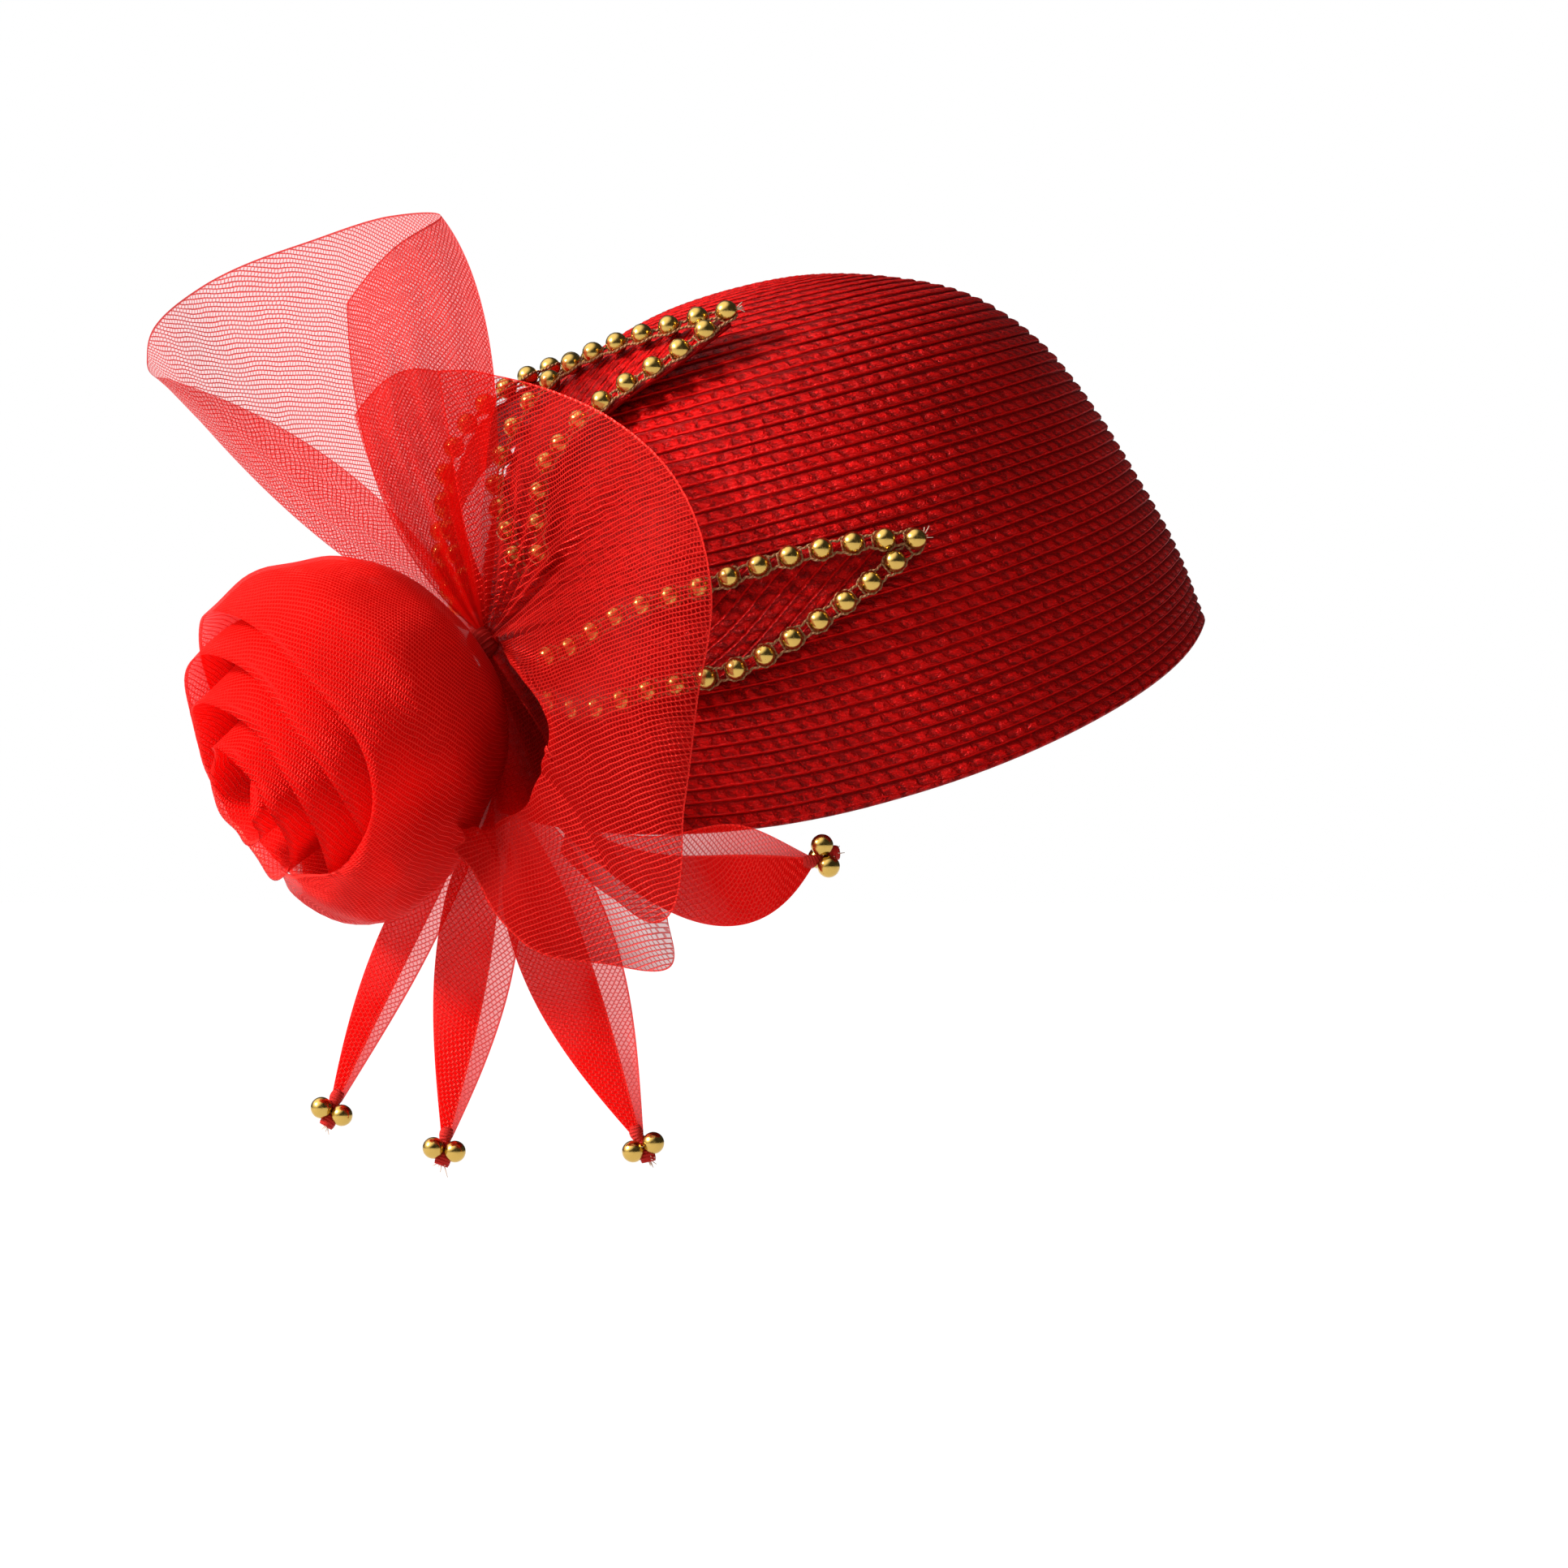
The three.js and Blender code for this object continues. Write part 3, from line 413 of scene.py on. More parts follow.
def petal_frame(row, level):
    """Centre line of a petal at levels from its seat to its tip, and the ways along and across it."""
    seat_turn, lift, *tip, bow, belly = row[:7]
    seat = leaned(above_crown(PETAL_SEAT_RUN, seat_turn, lift))
    seat_normal = leaned(crown_slopes(np.array(PETAL_SEAT_RUN), seat_turn)[2])
    tip = np.array(tip, float)
    chord = tip - seat
    across = unit(np.array((-chord[2], 0, chord[0])))
    pull = (seat + tip) / 2 - 2 * bow * across + 2 * belly * LEFT
    t = level[..., None]
    tangent = unit((pull - seat) * (1 - t) + (tip - pull) * t)
    turned = eased(t / PETAL_UNTWIST)
    sideways = unit(np.cross(tangent, seat_normal * (1 - turned) + LEFT * turned))
    return bezier(t, seat, pull, tip), tangent, sideways, unit(np.cross(sideways, tangent))


# Meshes


def grid_quads(rows, columns, around=False, first=0):
    """Corner indices of the faces of a grid of points, and the grid places that their corners have."""
    r, c = np.meshgrid(np.arange(rows - 1), np.arange(columns if around else columns - 1), indexing="ij")
    r, c = r.ravel(), c.ravel()
    places = np.stack([np.stack(corner, 1) for corner in ((r, c), (r + 1, c), (r + 1, c + 1), (r, c + 1))],
                      axis=1)
    return first + places[..., 0] * columns + places[..., 1] % columns, places


def weave_grid(x, y):
    """Weave coordinates of a grid, from those of its columns and of its rows."""
    return np.stack(np.broadcast_arrays(x, y), axis=-1)


class Net:
    """Collects grids and loose faces with their weave coordinates, and makes one mesh of them."""

    def __init__(self):
        self.points, self.faces, self.weave, self.count = [], [], [], 0
        self.hem, self.close = [], []

    def add_points(self, points, hem=None, close=None):
        """Takes in points and gives the index of the first. hem is how far they lie from a selvedge."""
        first, count = self.count, points.size // 3
        self.points.append(points.reshape(-1, 3))
        self.hem.append(np.full(count, NO_HEM) if hem is None else hem.reshape(-1))
        self.close.append(np.zeros(count) if close is None else close.reshape(-1))
        self.count += count
        return first

    def add_grid(self, grid, weave, hem=None, close=None, around=False, flip=False):
        """weave has one more column than a grid that goes around."""
        first = self.add_points(grid, hem, close)
        quads, places = grid_quads(*grid.shape[:2], around, first)
        corner_weave = weave[places[..., 0], places[..., 1]]
        if flip:
            quads, corner_weave = quads[:, ::-1], corner_weave[:, ::-1]
        self.faces.extend(quads.tolist())
        self.weave.append(corner_weave.reshape(-1, 2))
        return first

    def add_faces(self, faces):
        """Faces between points that are already in."""
        self.faces.extend(faces)
        self.weave.append(np.zeros((sum(len(face) for face in faces), 2)))

    def piece(self, name, material, slot):
        mesh = bpy.data.meshes.new(name)
        points = np.concatenate(self.points) * MM
        mesh.from_pydata(points.tolist(), [], self.faces)
        layer = mesh.uv_layers.new(name="weave")
        layer.data.foreach_set("uv", np.concatenate(self.weave).astype(np.float32).ravel())
        for key, values in (("hem", self.hem), ("close", self.close)):
            attribute = mesh.attributes.new(key, "FLOAT", "POINT")
            attribute.data.foreach_set("value", np.concatenate(values).astype(np.float32))
        mesh.polygons.foreach_set("use_smooth", [True] * len(mesh.polygons))
        mesh.materials.append(material)
        mesh.update()
        obj = bpy.data.objects.new(name, mesh)
        bpy.context.scene.collection.objects.link(obj)
        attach(obj, BODY)
        return obj


def arc_lengths(points, axis=0):
    steps = np.linalg.norm(np.diff(points, axis=axis), axis=-1)
    pad = [(0, 0)] * steps.ndim
    pad[axis] = (1, 0)
    return np.pad(np.cumsum(steps, axis=axis), pad)


def point_along(points, distance):
    lengths = arc_lengths(points)
    return np.stack([np.interp(distance, lengths, points[:, i]) for i in range(3)], axis=-1)


def round_angles(count):
    return np.linspace(0, 2 * math.pi, count, endpoint=False)


def sheet_net(grid, true_level, hem_sides, close, coarse=(1.0, 1.0), bias=BIAS):
    """Weave, distance from a selvedge and closeness of one layer of crinoline. Rows of the grid go along
    the ribbon, its columns run from root to rim, and the weave is true in the column true_level.
    hem_sides names the edges with a selvedge: r at the rim, s and x at the first and last rib. close
    lists how drawn together the weave is along the ribbon, from 0, stretched, to 1. Gathers add to it.
    coarse makes the heavy and the fine threads wider apart."""
    across, lengths = arc_lengths(grid, axis=1), arc_lengths(grid, axis=0)
    along = arc_lengths(grid[:, true_level])[:, None]
    weave = np.stack([along * math.cos(angle) - across * math.sin(angle) for angle in np.radians(bias)],
                     axis=-1) / coarse
    edges = {"r": across[:, -1:] - across, "s": lengths, "x": lengths[-1:] - lengths}
    hem = np.full(grid.shape[:2], NO_HEM)
    for side in hem_sides:
        hem = np.minimum(hem, edges[side])
    pitch = np.linalg.norm(np.diff(grid, axis=0, append=grid[-1:] * 2 - grid[-2:-1]), axis=-1)
    spread = pitch / np.maximum(pitch[:, -1:], 1e-6)
    place = np.linspace(0, 1, len(grid))
    drawn = np.interp(place, np.linspace(0, 1, len(close)), close)[:, None]
    gathers = np.clip((GATHER_FROM - spread) / GATHER_FROM, 0, 1)
    return weave, hem, np.clip(drawn + gathers * (1 - drawn), 0, 1)


def tube(net, points, radii, sides=8):
    """A round bar along a path, closed at its ends."""
    points = np.asarray(points, float)
    radii = np.broadcast_to(np.asarray(radii, float), len(points))
    tangents = unit(np.gradient(points, axis=0))
    normal = np.cross((0.3, 0.2, 0.9), tangents[0])
    angle = round_angles(sides)[:, None]
    rings = []
    for point, tangent, radius in zip(points, tangents, radii):
        normal = unit(normal - tangent * normal.dot(tangent))
        rings.append(point + radius * (normal * np.cos(angle) + np.cross(tangent, normal) * np.sin(angle)))
    weave = weave_grid(arc_lengths(points)[:, None], np.linspace(0, 1, sides + 1))
    first = net.add_grid(np.array(rings), weave, around=True)
    end = first + (len(points) - 1) * sides
    net.add_faces([[first + s for s in range(sides)], [end + s for s in reversed(range(sides))]])


def globe(centre, radius, axis, side, polar, angle, stretch=1.0):
    """Points of a round body, in belts from the foot of its axis up. stretch is its length beside its
    width."""
    other = np.cross(axis, side)
    return centre + radius * (np.sin(polar) * (np.cos(angle) * side + np.sin(angle) * other)
                              - np.cos(polar) * stretch * axis)


def ball(net, centre, radius, axis, stretch=1.0, sides=24, belts=16):
    """A round bead. axis is the way of its hole."""
    axis = unit(np.asarray(axis, float))
    side = unit(np.cross(axis, (0.31, 0.95, 0.11)))
    polar = np.linspace(0, math.pi, belts + 1)[1:-1][:, None, None]
    grid = globe(centre, radius, axis, side, polar, round_angles(sides)[None, :, None], stretch)
    weave = weave_grid(np.linspace(0, 1, sides + 1), np.linspace(0, 1, belts - 1)[:, None])
    first = net.add_grid(grid, weave, around=True, flip=True)
    low = net.add_points(np.asarray(centre - radius * stretch * axis))
    high = net.add_points(np.asarray(centre + radius * stretch * axis))
    last = first + (belts - 2) * sides
    net.add_faces([[low, first + (s + 1) % sides, first + s] for s in range(sides)])
    net.add_faces([[high, last + s, last + (s + 1) % sides] for s in range(sides)])


# Materials


class Wire:
    """A value in a node tree. Sums, differences, products and shares of it become math nodes."""

    def __init__(self, nodes, socket):
        self.nodes, self.socket = nodes, socket

    def __add__(self, other):
        return self.nodes.math("ADD", self, other)

    def __sub__(self, other):
        return self.nodes.math("SUBTRACT", self, other)

    def __rsub__(self, other):
        return self.nodes.math("SUBTRACT", other, self)

    def __mul__(self, other):
        return self.nodes.math("MULTIPLY", self, other)

    def __truediv__(self, other):
        return self.nodes.math("DIVIDE", self, other)

    def __abs__(self):
        return self.nodes.math("ABSOLUTE", self)

    def fract(self):
        return self.nodes.math("FRACT", self)


class Nodes:
    """Short words for adding linked shader nodes to a material or a world."""

    def __init__(self, owner, output):
        owner.use_nodes = True
        self.owner, self.tree = owner, owner.node_tree
        self.tree.nodes.clear()
        self.output = self.tree.nodes.new(output)

    def add(self, kind, inputs=(), output=0, **settings):
        """A node with these inputs, by name or place, linked or set. Gives the wire from one output."""
        node = self.tree.nodes.new("ShaderNode" + kind)
        for key, value in settings.items():
            setattr(node, key, value)
        for key, value in dict(inputs).items():
            if isinstance(value, Wire):
                self.tree.links.new(value.socket, node.inputs[key])
            else:
                node.inputs[key].default_value = value
        return Wire(self, node.outputs[output])

    def math(self, operation, *values, clamp=False):
        return self.add("Math", enumerate(values), operation=operation, use_clamp=clamp)

    def ramp(self, value, low, high, out_low=0.0, out_high=1.0, smooth=True):
        return self.add("MapRange", enumerate((value, low, high, out_low, out_high)),
                        interpolation_type="SMOOTHSTEP" if smooth else "LINEAR")

    def mix(self, share, first, second):
        """The mix node keeps its two colours in places 6 and 7, and gives the mixed one in place 2."""
        return self.add("Mix", {0: share, 6: first, 7: second}, output=2, data_type="RGBA")

    def mix_values(self, share, first, second):
        return self.add("Mix", {0: share, 2: first, 3: second}, data_type="FLOAT")

    def mix_shaders(self, share, first, second):
        return self.add("MixShader", enumerate((share, first, second)))

    def weave(self):
        uv = self.add("UVMap", uv_map="weave")
        x = self.add("SeparateXYZ", {0: uv})
        return uv, x, Wire(self, x.socket.node.outputs[1])

    def attribute(self, name):
        return self.add("Attribute", output="Fac", attribute_name=name)

    def noise(self, vector, scale, detail=2.0, roughness=0.5):
        return self.add("TexNoise", {"Vector": vector, "Scale": scale, "Detail": detail,
                                     "Roughness": roughness}, output="Fac")

    def vector(self, x, y):
        return self.add("CombineXYZ", enumerate((x, y)))

    def place(self):
        return self.add("TexCoord", output="Object")

    def bump(self, height, distance, strength=1.0):
        return self.add("Bump", {"Strength": strength, "Distance": distance * MM, "Height": height})

    def principled(self, **values):
        return self.add("BsdfPrincipled", {name.replace("_", " "): value for name, value in values.items()})

    def finish(self, shader):
        self.tree.links.new(shader.socket, self.output.inputs[0])
        return self.owner


def rgba(colour, scale=1.0):
    return (*(min(1.0, c * scale) for c in colour), 1.0)


def material(name, make, *values):
    """The material of this name, made when the first piece asks for it."""
    found = bpy.data.materials.get(name)
    if found:
        return found
    nodes = Nodes(bpy.data.materials.new(name), "ShaderNodeOutputMaterial")
    return nodes.finish(make(nodes, *values))


def plaited_straw(n, colour):
    """Plaited straw: slanted bundles of fine fibres over soft pits, a thin ridge low on each row and its
    shadow on the next one. Weave x counts bundles along a row, and weave y counts rows."""
    uv, x, y = n.weave()
    bend = (n.noise(uv, 2.2, 3.0, 0.6) - 0.5) * 0.14
    row = (y + bend).fract()
    jitter = (n.noise(uv, 1.4, 3.0, 0.6) - 0.5) * 1.1
    slant = x + row * -0.6 + jitter
    off = abs(slant.fract() - 0.5)
    pit = n.ramp(off, 0.12, 0.46) * n.ramp(row, 0.05, 0.4) * n.ramp(row, 0.88, 0.7)
    ridge = n.ramp(row, 0.72, 0.86) * n.ramp(row, 0.97, 0.91)
    shadow = n.ramp(row, 0.42, 0.03) + n.ramp(row, 0.94, 1.0)
    strand = n.noise(n.vector(slant * 5.0, y * 1.6), 1.0, 3.0, 0.65)
    fibre = n.noise(n.vector(slant * 17.0, y * 4.5), 1.0, 2.0, 0.7)
    speck = n.ramp(n.noise(n.place(), 1100.0, 1.0), 0.6, 0.72, 0.0, 0.6)
    blotch = n.noise(n.place(), 22.0, 3.0)
    height = ridge * 0.5 - pit + (strand * 0.9 + fibre * 0.4) - shadow * 0.45
    threads = strand - 0.5 + (fibre - 0.5) * 1.2
    # Painted light in the colour: a painted highlight on the ridges, painted shade in the pits and a painted
    # shadow below each ridge.
    shade = blotch * 0.5 + 0.42 + threads + (ridge * 0.26 + speck)
    shade = n.math("SUBTRACT", shade, pit * 0.44 + shadow * 0.4, clamp=True)
    return n.principled(
        Base_Color=n.mix(shade, rgba(colour, 0.22), rgba(colour, 1.2)),
        Roughness=n.ramp(fibre, 0.3, 0.7, 0.5, 0.3), Metallic=0.22, Specular_IOR_Level=0.08,
        Normal=n.bump(height, 1.0, 0.8))


def crinoline_net(n, haze_painted_light, thread_painted_light, depth):
    """Open nylon net: heavy and fine threads crossing on the bias over a haze of finer ones, with a close
    selvedge. Weave x crosses the heavy threads and weave y the fine ones, both in mm. The shades scale the
    colours, and depth is how dark the cloth gets where it is gathered or far from its edges."""
    c = colours()
    heavy_pitch, fine_pitch, hem_width = (
        size / MM for size in (sizes().thread_pitch, sizes().fine_pitch, sizes().hem_width))
    uv, x, y = n.weave()
    close, from_hem = n.attribute("close"), n.attribute("hem")
    wander = (n.noise(uv, 0.1, 2.0) - 0.5) * 1.6

    def threads(place, pitch, half_width):
        """Where the threads are, and how they bow up to their middles."""
        off = abs(place.fract() - 0.5) * pitch
        thread = n.ramp(off, half_width * 1.5, half_width * 0.5)
        return thread, thread * (half_width - off)

    heavy_place = (x + wander) / heavy_pitch
    brick = (n.math("FLOOR", heavy_place + 0.5) * 0.5).fract()
    heavy, heavy_bow = threads(heavy_place, heavy_pitch, HEAVY_HALF)
    fine, fine_bow = threads((y + wander) / fine_pitch + brick, fine_pitch, FINE_HALF)
    hem = n.ramp(from_hem, hem_width, hem_width * 0.55)
    solid = n.math("MAXIMUM", n.math("MAXIMUM", heavy, fine * 0.8), hem)
    drift = (n.noise(n.place(), 45.0, 2.0) - 0.5) * 0.25
    haze = n.ramp(close + drift, 0.0, 1.0, HAZE_OPEN, HAZE_CLOSE, smooth=False)
    cover = n.ramp(solid, 0.0, 1.0, haze, n.math("MAXIMUM", haze, THREAD_COVER), smooth=False)
    # Painted light: the thread and haze colours are scaled brighter or darker for how the piece is lit.
    tone = n.mix(heavy, rgba(c.fine_thread, thread_painted_light), rgba(c.heavy_thread, thread_painted_light))
    tone = n.mix(solid, rgba(c.haze, haze_painted_light), tone)
    # Painted shade: the colour darkens towards a dark haze where the cloth is drawn close and far from its
    # selvedges, and stays lighter near them.
    inside = n.math("MAXIMUM", n.ramp(close, 0.35, 1.0, 0.0, depth),
                    n.ramp(from_hem, 8.0, 55.0, 0.0, depth * 0.8))
    thread = n.principled(
        Base_Color=n.mix(inside, tone, rgba(c.haze, 0.4)),
        Roughness=0.4, Metallic=solid * 0.4, Specular_IOR_Level=0.03,
        Normal=n.bump(heavy_bow + fine_bow, 1.4))
    # The glow through the cloth is scaled by the same painted light as the haze.
    through = n.add("BsdfTranslucent", {"Color": rgba(c.glow, haze_painted_light)})
    cloth = n.mix_shaders(n.ramp(solid, 0.0, 1.0, 0.42, 0.25, smooth=False), thread, through)
    return n.mix_shaders(cover, n.add("BsdfTransparent"), cloth)


def painted_shade_gathered_crinoline(n):
    """Crinoline drawn so close that nothing shows through."""
    _, x, y = n.weave()
    pleat = n.math("SINE", x * (2 * math.pi))
    grain = n.noise(n.vector(x * 14.0, y * 40.0), 1.0, 3.0)
    thread = colours().heavy_thread
    # Painted shade: the thread colour is darkened to between a quarter and three quarters of itself.
    return n.principled(Base_Color=n.mix(grain, rgba(thread, 0.25), rgba(thread, 0.75)), Roughness=0.5,
                        Specular_IOR_Level=0.1, Normal=n.bump(pleat + grain * 1.5, 0.25, 0.8))


def gold_plating(n):
    """Plating that is a little worn and uneven."""
    wear = n.noise(n.place(), 900.0, 3.0)
    patch = n.noise(n.place(), 160.0, 2.0)
    return n.principled(
        Base_Color=n.mix(patch, rgba(colours().gold, 0.86), rgba(colours().gold, 1.1)),
        Metallic=1.0, Roughness=n.ramp(wear, 0.3, 0.8, 0.16, 0.32), Normal=n.bump(wear, 0.05, 0.25))


def bead_tape(n):
    """Twisted cord."""
    _, x, y = n.weave()
    twist = n.math("SINE", (x / 1.5 + y * 2.0) * (2 * math.pi))
    shade = n.math("ADD", twist * 0.3, n.noise(n.place(), 1500.0, 2.0), clamp=True)
    return n.principled(Base_Color=n.mix(shade, rgba(colours().tape, 0.55), rgba(colours().tape, 1.3)),
                        Roughness=0.5, Specular_IOR_Level=0.15, Normal=n.bump(twist, 0.3, 0.7))


def frayed_thread(n):
    """Frayed ends of the tape and of the threads at the petals' tips."""
    grain = n.noise(n.place(), 800.0, 2.0)
    return n.principled(Base_Color=n.mix(grain, FRAY_DARK, FRAY_LIGHT), Roughness=0.3,
                        Specular_IOR_Level=0.6, Normal=n.bump(grain, 0.1, 0.4))


def pale_floor(n):
    """Matt card that glows white, so the stage has no horizon."""
    grain = n.noise(n.place(), 30.0, 4.0)
    return n.principled(Base_Color=n.mix(grain, rgba(colours().floor, 0.98), rgba(colours().floor, 1.02)),
                        Roughness=0.9, Specular_IOR_Level=0.1,
                        Emission_Color=WHITE, Emission_Strength=FLOOR_GLOW)


# Pieces


def row_height(share):
    """Height of the braid at a share of a row, above the row's foot."""
    shares, heights = zip(*ROW_SECTION)
    return np.interp(np.mod(share, 1.0), [0.0, *shares, 1.0], [heights[0], *heights, 0.1])


def add_crown():
    """Rows of braid outside, the back of the braid inside, and a rolled edge at the rim."""
    pitch, knot = sizes().row_pitch / MM, sizes().knot_pitch / MM
    samples = np.linspace(0, RIM_RUN, CROWN_SAMPLES)
    side_length = arc_lengths(crown_face(samples, np.full(CROWN_SAMPLES, SIDE_TURN)))
    rows = round(side_length[-1] / pitch)
    pitch = side_length[-1] / rows
    columns = 330
    turn = np.linspace(0, 360, columns + 1)
    angle = np.radians(turn)
    net = Net()
    grids, weaves = [], []
    for row in range(rows):
        middle = read_table(CROWN_ROWS, np.interp((row + 0.5) * pitch, side_length, samples) / RUN_STEP)
        round_length = math.pi * (middle[0] + middle[1]) / 2 + math.pi * middle[2]
        knots = max(4, round(round_length / knot))
        waver = ROW_WAVER * np.sin(angle * (3 + row % 4) + row) + ROW_RIPPLE * np.sin(angle * 11 + 2.3 * row)
        lump = ROW_LUMP * np.sin(angle * 37 + 1.7 * row)
        for share, height in ROW_SECTION:
            down = (row + share) * pitch + waver * (0 < row < rows - 1)
            run = np.maximum(np.interp(down, side_length, samples), 0.5)
            grids.append(leaned(above_crown(run, turn, height - ROW_SINK + lump * height)))
            weaves.append(weave_grid(turn / 360 * knots + 0.5 * row, row + share))
    net.add_grid(np.array(grids)[:, :columns], np.array(weaves), around=True)
    net.add_faces([list(range(columns))])

    columns, rings = 120, 64
    turn = np.linspace(0, 360, columns + 1)
    down = np.linspace(1.0, side_length[-1], rings)[:, None]
    run = np.interp(down, side_length, samples)
    lift = -CROWN_WALL + INSIDE_ROW * np.cos(2 * math.pi * down / pitch) + 0 * turn
    inner = leaned(above_crown(run, turn, lift))[:, :columns]
    first = net.add_grid(inner, weave_grid(turn / 360 * 120, down / pitch), around=True, flip=True)
    net.add_faces([list(range(first, first + columns))[::-1]])

    columns, sides = 300, 10
    turn = np.linspace(0, 360, columns + 1)
    foot = crown_face(RIM_RUN, turn)
    down, _, normal = crown_slopes(np.full_like(turn, RIM_RUN - RIM_CLEAR), turn)
    ring = [foot + unit(down) * EDGE_DROP * math.cos(a) + normal * (EDGE_HALF * math.sin(a) - CROWN_WALL / 2)
            for a in round_angles(sides)]
    grid = leaned(np.array(ring)[:, :columns])
    weave = weave_grid(turn / 360 * 130, np.linspace(0.1, 0.9, sides)[:, None])
    net.add_grid(np.concatenate((grid, grid[:1])), np.concatenate((weave, weave[:1])), around=True, flip=True)
    piece = net.piece("crown_braid", material("sewn_braid", plaited_straw, colours().straw), "straw_braid")
    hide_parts("crown")


def add_leaves():
    """Each leaf has a braided face, a plain back and an edge that joins them."""
    pitch, knot = sizes().row_pitch / MM, sizes().knot_pitch / MM
    straw = material("leaf_braid", plaited_straw, colours().leaf_straw)
    stations, sides = 150, 30
    count = stations * sides
    for letter, table in LEAF_TABLES.items():
        position, side = np.broadcast_arrays(np.linspace(0, len(table) - 1, stations)[:, None],
                                             np.linspace(-LEAF_EDGE, LEAF_EDGE, sides))
        middle = leaf_points(table, position, side, 0.0)
        along = arc_lengths(middle[:, sides // 2])[:, None]
        across = side * read_table(table, position)[..., 2]
        lean = math.radians(LEAF_SLOPES[letter])
        rows = (across * math.cos(lean) - along * math.sin(lean)) / pitch
        knots = (along * math.cos(lean) + across * math.sin(lean)) / knot
        lift = LEAF_WALL / 2 - LEAF_FACE_SINK + row_height(-rows) * LEAF_RELIEF
        weave = np.stack((knots, -rows), -1)
        net = Net()
        net.add_grid(leaned(leaf_points(table, position, side, lift)), weave, flip=True)
        net.add_grid(leaned(leaf_points(table, position, side, -LEAF_WALL / 2)), weave)
        rim = ([(i, 0) for i in range(stations)] + [(stations - 1, j) for j in range(1, sides)]
               + [(i, sides - 1) for i in range(stations - 2, -1, -1)]
               + [(0, j) for j in range(sides - 2, 0, -1)])
        edge = [i * sides + j for i, j in rim]
        net.add_faces([[a, b, b + count, a + count] for a, b in zip(edge, edge[1:] + edge[:1])])
        piece = net.piece(f"straw_leaf_{letter}", straw, "straw_braid")
        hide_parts(f"leaf_{letter}")


def fray(net, start, direction, length, count, seed):
    """Fine loose threads that spread from a cut end."""
    rng = np.random.default_rng(seed)
    direction = unit(np.asarray(direction, float))
    for _ in range(count):
        lean = unit(direction + rng.normal(0, FRAY_SPREAD, 3))
        curl = rng.normal(0, FRAY_CURL, 3)
        reach = length * rng.uniform(0.55, 1.0)
        t = np.linspace(0, 1, 5)[:, None]
        tube(net, start + lean * reach * t + curl * reach * t ** 2, np.linspace(FRAY_ROOT, FRAY_END, 5), 5)


def add_tape(net, path, length):
    """Two cords that pass beside the beads, tied across between them."""
    samples = np.linspace(0.5, length, 200)
    route = point_along(path, samples)
    out = unit(route - np.array(CROWN_MIDDLE))
    beside = unit(np.cross(unit(np.gradient(route, axis=0)), out))
    hug = 0.5 + 0.5 * np.cos(2 * math.pi * (length - samples) / BEAD_PITCH)
    twine = TAPE_TWINE * np.cos(samples * 2.4)[:, None]
    for edge in (-1, 1):
        spread = edge * (TAPE_HALF + hug * TAPE_SWELL)[:, None]
        tube(net, route + beside * (spread + twine) - out * TAPE_DROP, TAPE_CORD, 6)
    for gap in np.arange(BEAD_PITCH / 2, length, BEAD_PITCH):
        for shift in (-TAPE_TIE, TAPE_TIE):
            place = int(np.argmin(np.abs(samples - (length - gap - shift))))
            bar = beside[place] * TAPE_HALF
            middle = route[place] - out[place] * TAPE_DROP
            tube(net, [middle - bar, middle, middle + bar], TAPE_CORD * 0.8, 5)


def add_bead_strings():
    """A string along both edges of each leaf. The first has a bead on the leaf's tip."""
    radius = sizes().bead_radius / MM
    lift = LEAF_WALL / 2 + GAP + radius
    for index, (letter, table) in enumerate(LEAF_TABLES.items()):
        beads, cord, ends = Net(), Net(), Net()
        last = len(table) - 1.0
        position = np.linspace(0, last, 120)
        for first_bead, edge in enumerate((-1, 1)):
            side = np.full_like(position, edge)
            side[-1] = 0
            path = leaned(leaf_points(table, position, side, lift))
            length = arc_lengths(path)[-1]
            count = int((length - radius) // BEAD_PITCH)
            for bead in range(first_bead, count + 1):
                stop = length - bead * BEAD_PITCH
                ahead = point_along(path, min(stop + 0.5, length)) - point_along(path, stop - 0.5)
                ball(beads, point_along(path, stop), radius, ahead, stretch=0.97)
            add_tape(cord, path, length)
        tip, before = (leaned(leaf_points(table, np.array(place), np.array(0.0), lift - 1.0))
                       for place in (last, last - 0.3))
        out = unit(tip - before)
        fray(ends, tip + out * 2.6, out, 3.6, 7, 11 + index)
        string = beads.piece(f"beads_{letter}", material("gold_plating", gold_plating), "gold_bead")
        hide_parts(f"bead_string_{letter}")
        cord.piece(f"bead_tape_{letter}", material("bead_tape", bead_tape), "gold_bead")
        ends.piece(f"tape_end_{letter}", material("frayed_thread", frayed_thread), "gold_bead")


def add_knob():
    """The drawn up ends of the crinoline, in pleats round the rose's axis."""
    sides, belts = 120, 40
    net = Net()
    axis = unit(ROSE_AXIS)
    side = unit(UP - axis * UP.dot(axis))
    polar = np.linspace(0.02, math.pi - 0.02, belts)[:, None, None]
    angle = round_angles(sides)[None, :, None]
    pleat = 0.35 * np.cos(angle * KNOB_PLEATS + 0.6 * np.sin(polar * 3)) + 0.2 * np.cos(angle * 31)
    grid = globe(KNOB_CENTRE, KNOB_LOOK_RADIUS + pleat * np.sin(polar), axis, side, polar, angle)
    weave = weave_grid(np.linspace(0, KNOB_PLEATS, sides + 1), np.linspace(0, 1, belts)[:, None])
    net.add_grid(grid, weave, around=True, flip=True)
    net.add_faces([list(range(sides)), list(range((belts - 1) * sides, belts * sides))[::-1]])
    # The knob takes the gathered crinoline darkened by painted shade.
    piece = net.piece("gathered_knob", material("painted_shade_gathered_crinoline", painted_shade_gathered_crinoline), "crinoline")
    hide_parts("knob")


